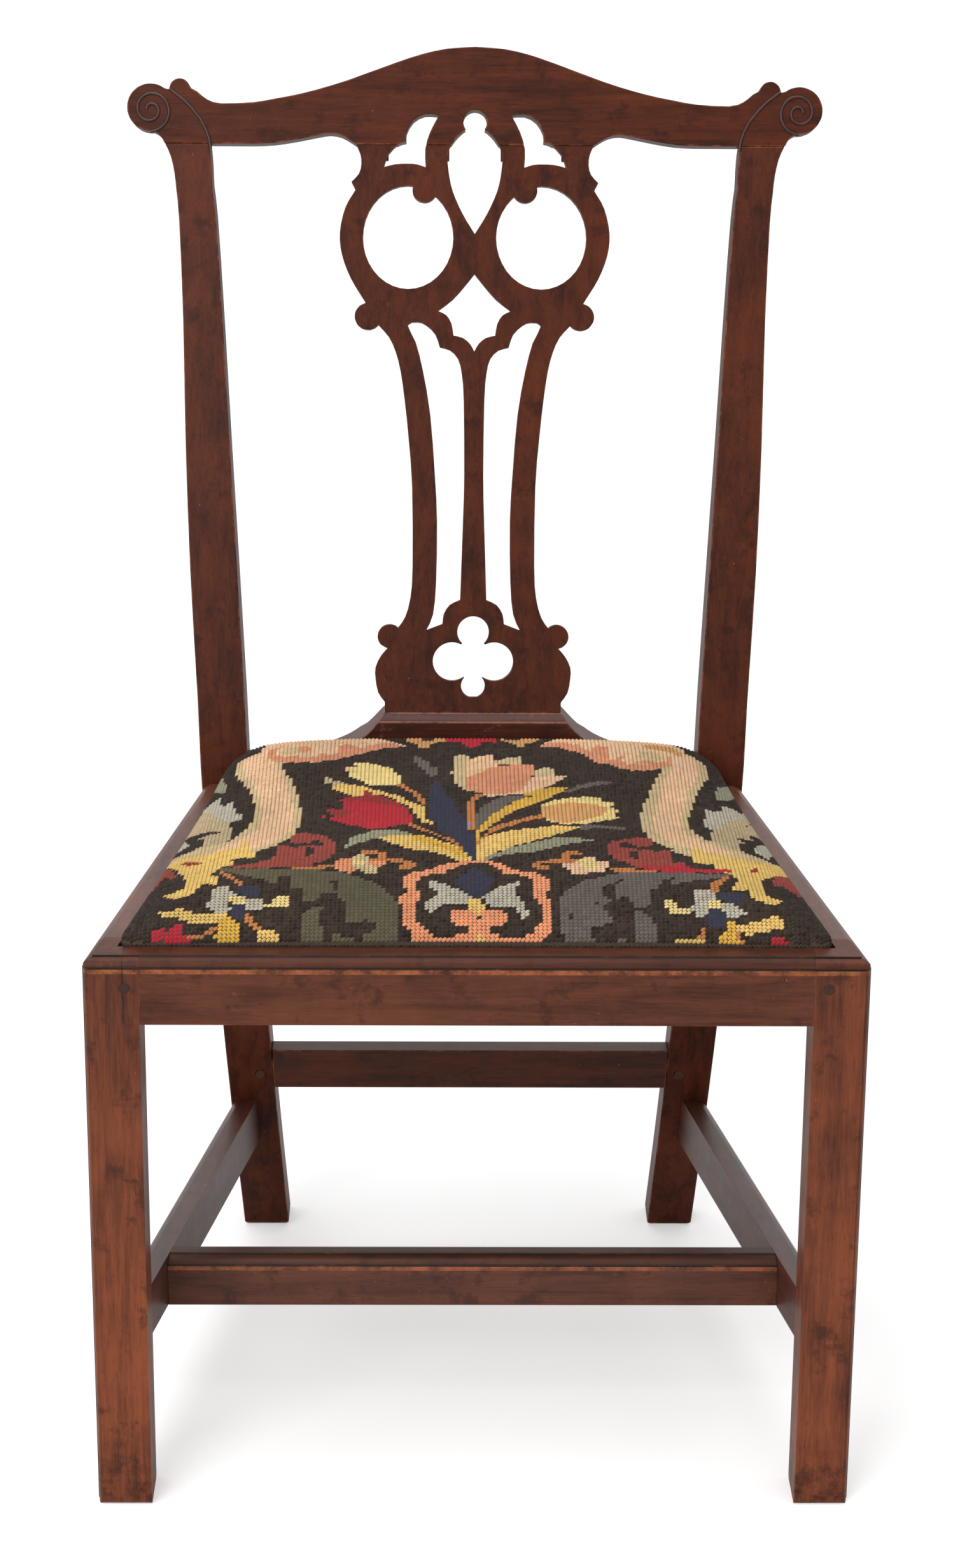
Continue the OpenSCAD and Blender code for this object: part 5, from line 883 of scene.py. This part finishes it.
    ("yellow", "-35.3,15.5 -33.5,17 -30.5,16 -27.3,14.8 -26,13 -24,12 -21.5,10.5 -20,9 -18,7.5 -16.5,5.5"
     " -15,4 -14,2.2 -12,1 -11.5,-2 -11.5,-8 -10,-9 -9.5,-11.5 -10.5,-11 -12.5,-9.8 -13.5,-7 -14.5,-4"
     " -15.5,0 -17,2.5 -18.5,4.5 -20.5,7 -22.5,9 -25,9.5 -27,8.8 -29,9 -31,10.3 -33.5,13"),
    ("rust", "-18.8,15.5 -17.5,16.5 -16.8,14.5 -16,12.5 -14.5,11 -13.8,9 -12.8,7.5 -12.3,5.5 -11.5,4"
     " -11.5,2 -12.5,2.5 -13.5,4.5 -14.5,7 -15.3,9.5 -16.5,11.5 -17.8,13.5 -19.2,14.3"),
    ("straw", "-30.3,30 -29.8,31 -28,31 -25.3,30.3 -23.5,29 -21.5,27.5 -20.3,26.5 -19.8,24.5 -18.6,23.3"
     " -18.3,20 -18.3,16.5 -19.3,15 -22.5,14.8 -25.5,15.3 -27.2,17 -28.5,19.5 -30,20.5 -31,22.5 -31,25"
     " -32.2,25.3 -32,28 -30.8,28.2 -29.3,28.5 -29.3,29.3"),
    ("crimson", "-32.3,9 -30,9.2 -28.3,8.8 -26.8,9.3 -27.2,12 -25.8,11.5 -24.5,9.5 -22.5,8.5 -21,6.5"
     " -19.5,5 -18,3.5 -17,1.5 -15.8,0 -15.5,-3.5 -14.5,-4 -14.5,-6.5 -15.3,-9.5 -17,-11 -20,-11.8"
     " -22,-12.8 -25,-12.8 -27,-11.8 -28.5,-10.3 -31,-9 -33,-6.8 -35,-4.5 -35.5,-3.3 -34,-3.5 -33,-3"
     " -34.8,-1 -35.5,1 -36.5,3 -35.8,3.2 -33.5,2 -31.8,1.8 -32.5,4 -32,6 -32.5,7.5"),
    ("oxblood", "-32.3,9 -28.3,8.8 -26.8,9.3 -27,12 -24.5,9.5 -22.5,8.5 -19.5,5 -17,1.5 -15.8,0 -15.5,-3.5"
     " -16.5,-2 -17.5,1 -19,1 -20.5,3 -23,3.8 -25,5 -27,6 -29,7.2 -30.5,6.5"),
    ("oxblood", "-36.5,3 -33.5,2 -31,1 -29.5,0 -30.5,-2.5 -31.5,-4.5 -33.5,-3 -35.3,0.5"),
    ("crimson", "-36.7,-1.2 -35.7,-1.2 -35.7,-2.5 -36.7,-2.5"),
    # Bouquet: peach tulip
    ("khaki", "-5,35.5 -3.5,37.3 -2,37 -1,35.5 -1,33.5 -2,31 -2.2,25 -2.3,19.5 -2.2,13 -0.5,10.5 -1.8,10.8"
     " -3,12.5 -4.2,15 -5,17.5 -5.3,22 -6,24.5 -5.2,25.5 -5.2,31"),
    ("peach", "-1,33.5 0,34 1,35.5 2.5,36.2 4,37.5 5,36.5 5,32.5 6,30 6,27 2,22 -2.3,19.5 -2,25 -2,31"),
    ("khaki", "5,32.5 7.5,33.5 9,35 11,35.3 12.2,35.8 12,30 6,30 5.5,31"),
    ("khaki", "15,25.5 16.5,27 18,28.3 19,27.5 19.8,26 19.8,21.8 15,20.8"),
    ("peach", "13.5,21 15,21 20,22 22.8,22 22.3,20.5 21.3,19 20.5,17.5 19,15.5 18,14 16,12 13,10 10,8.8"
     " 7,8.3 4,7.2 2,8.3 4,9.5 8,10"),
    ("salmon", "-2.2,19.8 0,22.5 2.3,24.5 3,27 6,28.5 9,29.5 15,29.6 15,24 14.3,20.5 13.3,17 12,13.5"
     " 10.8,11 8.5,9.5 5,8.8 2,9.5 0,10.5 -1.8,12 -2.2,15"),
    # Bouquet: right tulip
    ("straw", "15.6,1.5 16.5,3 18,4.8 20.5,6.2 22,7 25,8.3 30.2,9.3 31,8 30,6.8 32,7 34.2,6.8 33.8,5.5"
     " 32.8,5 33.8,3.5 35,2 34.5,0.5 34,-1.2 34.8,-2.3 33.5,-3.8 31.5,-5.3 29,-7 27,-8.5 24,-9.3 20.5,-9.8"
     " 18.5,-8.8 17.5,-8 17.3,-6.8 16,-6.2 15.6,-3"),
    ("tan", "15.7,1 18,2.5 20.5,4 23,5 26,5.4 29,5 32,3.5 32.2,1 31,-1 29,-3.5 27,-5 25.5,-7.3 23,-8.5"
     " 20,-8.8 18,-8 17,-6.7 16,-6.2 15.6,-2"),
    # Cartouche at the middle of the front
    ("coral", "-0.2,-30.1 2.5,-30.2 4.8,-30.8 6.5,-32.2 8,-33.8 10,-34.5 12,-34.8 14.5,-35.5 16,-37 17,-38.5"
     " 17,-41 16.2,-43.5 16.5,-45.5 17.4,-46.5 17.5,-55 16.5,-56.8 15.2,-58.3 14.5,-60 -13.8,-60"
     " -14.8,-58 -15,-56.2 -16.5,-54.5 -17,-52 -17.5,-47.5 -17.6,-45.2 -16.3,-43.5 -16.8,-40 -16.6,-36.8"
     " -15,-35.3 -12.5,-34.8 -10.5,-34 -9.5,-33.2 -8,-31.8 -5.5,-30.7 -3,-30.3"),
    ("ground", "-1.5,-31.3 1.8,-31.2 4,-32 5.5,-33.5 6.5,-36.2 9.5,-36.3 12,-37.5 13,-39 13.5,-41"
     " 13.3,-43.5 12.6,-45.2 14,-46.5 14.7,-48.5 14.7,-53.5 13.8,-55 12.3,-57 10,-58.3 -9.8,-58.3"
     " -11,-56.6 -13,-54.2 -14.3,-53 -14.4,-50 -14,-47.5 -12.8,-45.8 -12.6,-43.5 -13.8,-42.5 -13.8,-39"
     " -12.5,-37.3 -10.8,-36.5 -7.5,-36.2 -7,-34.8 -5,-33.5 -3.5,-32.2"),
    ("silver", "-10.8,-39.5 -10.2,-38.3 -9.2,-39.6 -7.5,-40.2 -6,-41 -4.5,-42.5 -3,-43.3 -1.8,-44.3"
     " -1.2,-45.5 -1.3,-46.5 -2.5,-48.3 -8,-48.3 -8.7,-49.8 -9.6,-50.5 -9.6,-52.5 -10.3,-52.5 -10.5,-50.5"
     " -11.5,-49.8 -11.6,-47 -10.5,-46.3 -9.8,-45 -9,-43.8 -9.8,-42 -10.8,-41.3"),
    ("silver", "1.5,-45 2.5,-43.8 4,-42.5 5.5,-41.5 7.5,-40.5 9.5,-39.3 10.2,-39.5 10.2,-41 9.2,-41.5"
     " 9,-44 9.5,-45 10.5,-46.5 11.5,-46.8 11.5,-49.5 11.6,-51.5 10.5,-52.8 10,-52.8 9.8,-51 8.8,-50.5"
     " 8.6,-48.8 3,-48.5 2,-47 1.5,-46"),
    ("navy", "-1.2,-33.3 0.2,-33.5 0.8,-35 1.8,-35.5 2.3,-37.2 3.8,-36.8 4.2,-38.5 3.5,-40.5 3.3,-41.8"
     " 2.3,-43.5 1.3,-45 1,-46.2 -0.8,-46.2 -1.2,-45 -2.3,-43.5 -3.2,-42 -4.5,-40.5 -4.8,-38.8 -4.3,-37.5"
     " -3,-37 -2.3,-35.5"),
    ("coral", "-5,-49.6 -1.8,-49.8 0,-51.5 2,-49.9 5.5,-49.6 6.7,-51 6.7,-53.5 5.2,-55 2.8,-55.2 3.3,-56.5"
     " 5,-57.6 7,-58.5 -6,-58.5 -4.5,-57 -2.2,-56.5 -2,-55 -5,-54.8 -6.2,-53.5 -6.2,-51"),
    ("yellow", "-1.5,-46.3 1.2,-46.3 1.5,-47.5 2.5,-48 2.2,-49.8 1,-50.3 0.3,-52 -0.3,-52 -0.8,-50.2"
     " -2.3,-49.8 -2.5,-48 -1.8,-47.5"),
    ("ground", "-0.4,-51.9 0.6,-51.9 0.6,-52.9 -0.4,-52.9"),
    ("yellow", "0,-57 0.9,-57 2,-58.5 1.8,-60 0,-60"),
]
STITCH = 3.03
COLUMNS, FRONT_ROW, BACK_ROW = 85, -62, 70
STITCH_LENGTH, STITCH_WIDTH, STITCH_HEIGHT = 0.0040, 0.0026, 0.0011
STITCH_FACETS, SUNK = 8, 0.8
PULLED_LEAST, PULLED_MOST, PULL_SEED = 0.92, 1.07, 11
TONE_SPREAD, GROUND_SPREAD, HUE_SHARE, TONE_SEED = 0.05, 0.24, 0.3, 7
TONE_LEAST, TONE_MOST = 0.5, 1.6
SURVEY, SURVEY_HALF_WIDTH, SURVEY_FRONT, SURVEY_BACK = 0.5, 262, 8, 382
FIRST_GUESS, TURNS, BOLD_TURNS, SETTLED_WITHIN = 0.9, 14, 3, 0.4
LEAST_SHARE, RIM_SHARE, SLOPE_STEP, JUST_SHORT = 1e-6, 0.9985, 0.2, 1.001
MAP_CELLS, MAP_FOOT, MAP_FILL, MAP_GAP = 176, -94, 0.8, 1.5
STRANDS, STRAND_SPAN = {"Scale": 1500, "Detail": 4, "Roughness": 0.7}, (0.3, 0.7)
STRAND_DARK, STRAND_LIGHT = (0.74, 0.73, 0.72), (1.14, 1.14, 1.14)
FADING, FADE_SPAN = {"Scale": 16, "Detail": 3}, (0.35, 0.65)
FADE_DARK, FADE_LIGHT = (0.9, 0.9, 0.9), (1.08, 1.07, 1.05)
STRAND_BUMPS = (0.5, 0.0004)
WOOL_FINISH = {"Roughness": 0.9, "Specular IOR Level": 0.12, "Sheen Weight": 0.03}


def worked(columns, rows):
    """Which wool each stitch is worked in: the last shape of the pattern that holds it"""
    found = np.zeros(len(columns), int)
    names = list(WOOLS)
    for wool, outline in PATTERN:
        shape = np.array([[float(v) for v in pair.split(",")] for pair in outline.split()])
        inside = np.zeros(len(columns), bool)
        for (x0, y0), (x1, y1) in zip(shape, np.roll(shape, -1, axis=0)):
            if y0 != y1:
                crosses = (y0 > rows) != (y1 > rows)
                inside ^= crosses & (columns < x0 + (rows - y0) * (x1 - x0) / (y1 - y0))
        found[inside] = names.index(wool)
    return found


def rim_share(x, y):
    """Share of the way from the middle of the seat to the rim"""
    order = np.argsort(rim_angle)
    turn = np.arctan2(y - SEAT_MIDDLE, x)
    reach = np.interp(turn, rim_angle[order], rim_reach[order], period=2 * math.pi)
    return np.hypot(x, y - SEAT_MIDDLE) / reach


def surface(x, y):
    """Height of the cover above the floor"""
    share = np.clip(rim_share(x, y), LEAST_SHARE, 1)
    return crown_height(share, x / share, SEAT_MIDDLE + (y - SEAT_MIDDLE) / share, y)


def cloth_runs(axis, middle):
    """Length along the cloth from its middle to each point of the survey"""
    steps = np.cumsum(np.hypot(SURVEY, np.diff(heights, axis=axis)), axis=axis)
    from_edge = np.insert(steps, 0, 0, axis=axis)
    return from_edge - np.take(from_edge, [middle], axis=axis)


def read_off(table, line, value, index):
    """What a table says between two lines of the survey"""
    place = np.clip((value - line[0]) / SURVEY, 0, len(line) - JUST_SHORT)
    whole = place.astype(int)
    return table[whole, index] * (1 - place + whole) + table[whole + 1, index] * (place - whole)


# Stitches lie evenly along the cloth, not on the plan, so the crown is surveyed first
# and the place of each stitch settles between its row and its column.
across_line = np.arange(-SURVEY_HALF_WIDTH, SURVEY_HALF_WIDTH + SURVEY, SURVEY)
depth_line = np.arange(SURVEY_FRONT, SURVEY_BACK + SURVEY, SURVEY)
heights = surface(*np.meshgrid(across_line, depth_line))
column_runs = STITCH * (np.arange(-COLUMNS, COLUMNS) + 0.5)
row_runs = STITCH * (np.arange(FRONT_ROW, BACK_ROW) + 0.5)
x_of = np.stack([np.interp(column_runs, run, across_line) for run in cloth_runs(1, len(across_line) // 2)])
y_of = np.stack([np.interp(row_runs, run, depth_line)
                 for run in cloth_runs(0, round((SEAT_MIDDLE - SURVEY_FRONT) / SURVEY)).T])
column, row = np.meshgrid(np.arange(len(column_runs)), np.arange(len(row_runs)))
x = FIRST_GUESS * np.broadcast_to(column_runs, column.shape)
y = np.broadcast_to(row_runs[:, None] + SEAT_MIDDLE, column.shape)
for turn in range(TURNS):
    new_x = read_off(x_of, depth_line, y, column)
    x = new_x if turn < BOLD_TURNS else (x + new_x) / 2
    new_y = read_off(y_of, across_line, x, row)
    y = new_y if turn < BOLD_TURNS else (y + new_y) / 2
settled = (np.abs(new_x - x) < SETTLED_WITHIN) & (np.abs(new_y - y) < SETTLED_WITHIN)
settled &= rim_share(x, y) < RIM_SHARE
x, y = x[settled], y[settled]
column, row = column_runs[column[settled]] / STITCH, row_runs[row[settled]] / STITCH
slope_x = (surface(x + SLOPE_STEP, y) - surface(x - SLOPE_STEP, y)) / (2 * SLOPE_STEP)
slope_y = (surface(x, y + SLOPE_STEP) - surface(x, y - SLOPE_STEP)) / (2 * SLOPE_STEP)
rightward = np.column_stack([np.ones_like(x), np.zeros_like(x), slope_x])
backward = np.column_stack([np.zeros_like(x), np.ones_like(x), slope_y])
rightward /= np.linalg.norm(rightward, axis=1)[:, None]
backward /= np.linalg.norm(backward, axis=1)[:, None]
facing = np.cross(rightward, backward)
slant = rightward + backward
spots = np.column_stack([x, y, surface(x, y)])
wools = worked(column, row)

# Down the sides of the cover it goes on in the ground's wool, to the hem.
loop = np.vstack([rim, rim[:1]])
lengths = np.concatenate([[0], np.cumsum(np.linalg.norm(np.diff(loop, axis=0), axis=1))])
count = int(lengths[-1] / STITCH)
steps = (np.arange(count) + 0.5) * lengths[-1] / count
side_xy = np.column_stack([np.interp(steps, lengths, loop[:, k]) for k in (0, 1)])
ahead = np.column_stack([np.interp((steps + 1) % lengths[-1], lengths, loop[:, k]) for k in (0, 1)]) - side_xy
ahead /= np.linalg.norm(ahead, axis=1)[:, None]
side_rows = int((CROWN_BASE - HEM_HEIGHT) / STITCH)
for down in range(side_rows):
    spots = np.vstack([spots, np.column_stack([side_xy, np.full(count, CROWN_BASE - STITCH * (down + 0.5))])])
    facing = np.vstack([facing, np.column_stack([ahead[:, 1], -ahead[:, 0], np.zeros(count)])])
    slant = np.vstack([slant, np.column_stack([ahead, np.ones(count)])])
    wools = np.concatenate([wools, np.zeros(count, int)])
    column = np.concatenate([column, -COLUMNS + np.arange(count) % (2 * COLUMNS) + 0.5])
    wrapped = (side_rows + 1) * (np.arange(count) // (2 * COLUMNS))
    row = np.concatenate([row, FRONT_ROW - MAP_GAP - down - wrapped])

spun = np.random.default_rng(TONE_SEED)
uneven = np.where(wools == 0, GROUND_SPREAD, TONE_SPREAD)[:, None]
tone = 1 + uneven * (spun.normal(size=(len(spots), 1)) + HUE_SHARE * spun.normal(size=(len(spots), 3)))
yarn = np.array(list(WOOLS.values()))[wools] * np.clip(tone, TONE_LEAST, TONE_MOST)
cell = np.column_stack([column + COLUMNS + 1, row - MAP_FOOT, np.zeros(len(row))])
stitch_mesh = bpy.data.meshes.new("stitch_places")
stitch_mesh.from_pydata(in_place(spots - facing * CANVAS_DEPTH * SUNK).tolist(), [], [])
for name, values in (("facing", facing), ("slant", slant), ("cell", cell)):
    stitch_mesh.attributes.new(name, "FLOAT_VECTOR", "POINT").data.foreach_set("vector", values.ravel())
dyed = stitch_mesh.attributes.new("yarn", "FLOAT_COLOR", "POINT")
dyed.data.foreach_set("color", np.column_stack([yarn, np.ones(len(yarn))]).ravel())

wool, tree, where = material_with("tapestry_wool", WOOL_FINISH)
strands = noise(tree, where, STRANDS)
shade = blended(tree, window(tree, strands, *STRAND_SPAN), STRAND_DARK, STRAND_LIGHT)
dye = node_in(tree, "ShaderNodeAttribute", attribute_name="yarn").outputs["Color"]
fade = blended(tree, window(tree, noise(tree, where, FADING), *FADE_SPAN), FADE_DARK, FADE_LIGHT)
feed(tree, "Base Color", blended(tree, 1.0, blended(tree, 1.0, dye, shade, "MULTIPLY"), fade, "MULTIPLY"))
bumped(tree, strands, *STRAND_BUMPS)

stitch_sizes = {"Stitch Length": STITCH_LENGTH, "Stitch Width": STITCH_WIDTH, "Stitch Height": STITCH_HEIGHT}
stitching, entry, stitch_values = growing("slanted_stitches", {**stitch_sizes, "Wool": wool})


def stored(name):
    """What the stitches' mesh keeps for each stitch under a name"""
    kept = node_in(stitching, "GeometryNodeInputNamedAttribute", {"Name": name}, data_type="FLOAT_VECTOR")
    return kept.outputs["Attribute"]


def store(name, shape, value, kind, domain):
    """The shape, with a value kept on it under a name"""
    kept = node_in(stitching, "GeometryNodeStoreNamedAttribute",
                   {"Name": name, "Geometry": shape, "Value": value}, data_type=kind, domain=domain)
    return kept.outputs[0]


bead_sizes = {"Vertices": STITCH_FACETS, "Radius Top": 0.0, "Radius Bottom": 0.5, "Depth": 1.0}
bead = node_in(stitching, "GeometryNodeMeshCone", bead_sizes, fill_type="NONE")
place = node_in(stitching, "GeometryNodeInputPosition").outputs[0]
bead = store("local", bead.outputs["Mesh"], place, "FLOAT_VECTOR", "POINT")
size = node_in(stitching, "ShaderNodeCombineXYZ", {k: entry[label] for k, label in enumerate(stitch_sizes)})
shaped = node_in(stitching, "GeometryNodeTransform", {"Geometry": bead, "Scale": size.outputs[0]})
soft = node_in(stitching, "GeometryNodeSetShadeSmooth", {0: shaped.outputs[0]})
lay = node_in(stitching, "FunctionNodeAxesToRotation", {0: stored("facing"), 1: stored("slant")},
              primary_axis="Z", secondary_axis="X")
pull = node_in(stitching, "FunctionNodeRandomValue", {2: PULLED_LEAST, 3: PULLED_MOST, "Seed": PULL_SEED},
               data_type="FLOAT")
sown = node_in(stitching, "GeometryNodeInstanceOnPoints",
               {"Points": entry["Geometry"], "Instance": soft.outputs[0], "Rotation": lay.outputs[0],
                "Scale": pull.outputs[1]})
real = node_in(stitching, "GeometryNodeRealizeInstances", {0: sown.outputs[0]})
spread = node_in(stitching, "ShaderNodeVectorMath", {0: stored("local"), 1: (MAP_FILL, MAP_FILL, 0)},
                 operation="MULTIPLY")
both = node_in(stitching, "ShaderNodeVectorMath", {0: spread.outputs[0], 1: stored("cell")}, operation="ADD")
fitted = node_in(stitching, "ShaderNodeVectorMath", {0: both.outputs[0], "Scale": 1 / MAP_CELLS},
                 operation="SCALE")
mapped = store("OFBake", real.outputs[0], fitted.outputs[0], "FLOAT2", "CORNER")
dressed = node_in(stitching, "GeometryNodeSetMaterial", {"Geometry": mapped, "Material": entry["Wool"]})
node_in(stitching, "NodeGroupOutput", {0: dressed.outputs[0]})

stitches = grown("needlework_stitches", stitch_mesh, stitching, stitch_values, "slip_seat")
for name in ("facing", "slant", "cell", "local"):
    if name in stitches.data.attributes:
        stitches.data.attributes.remove(stitches.data.attributes[name])
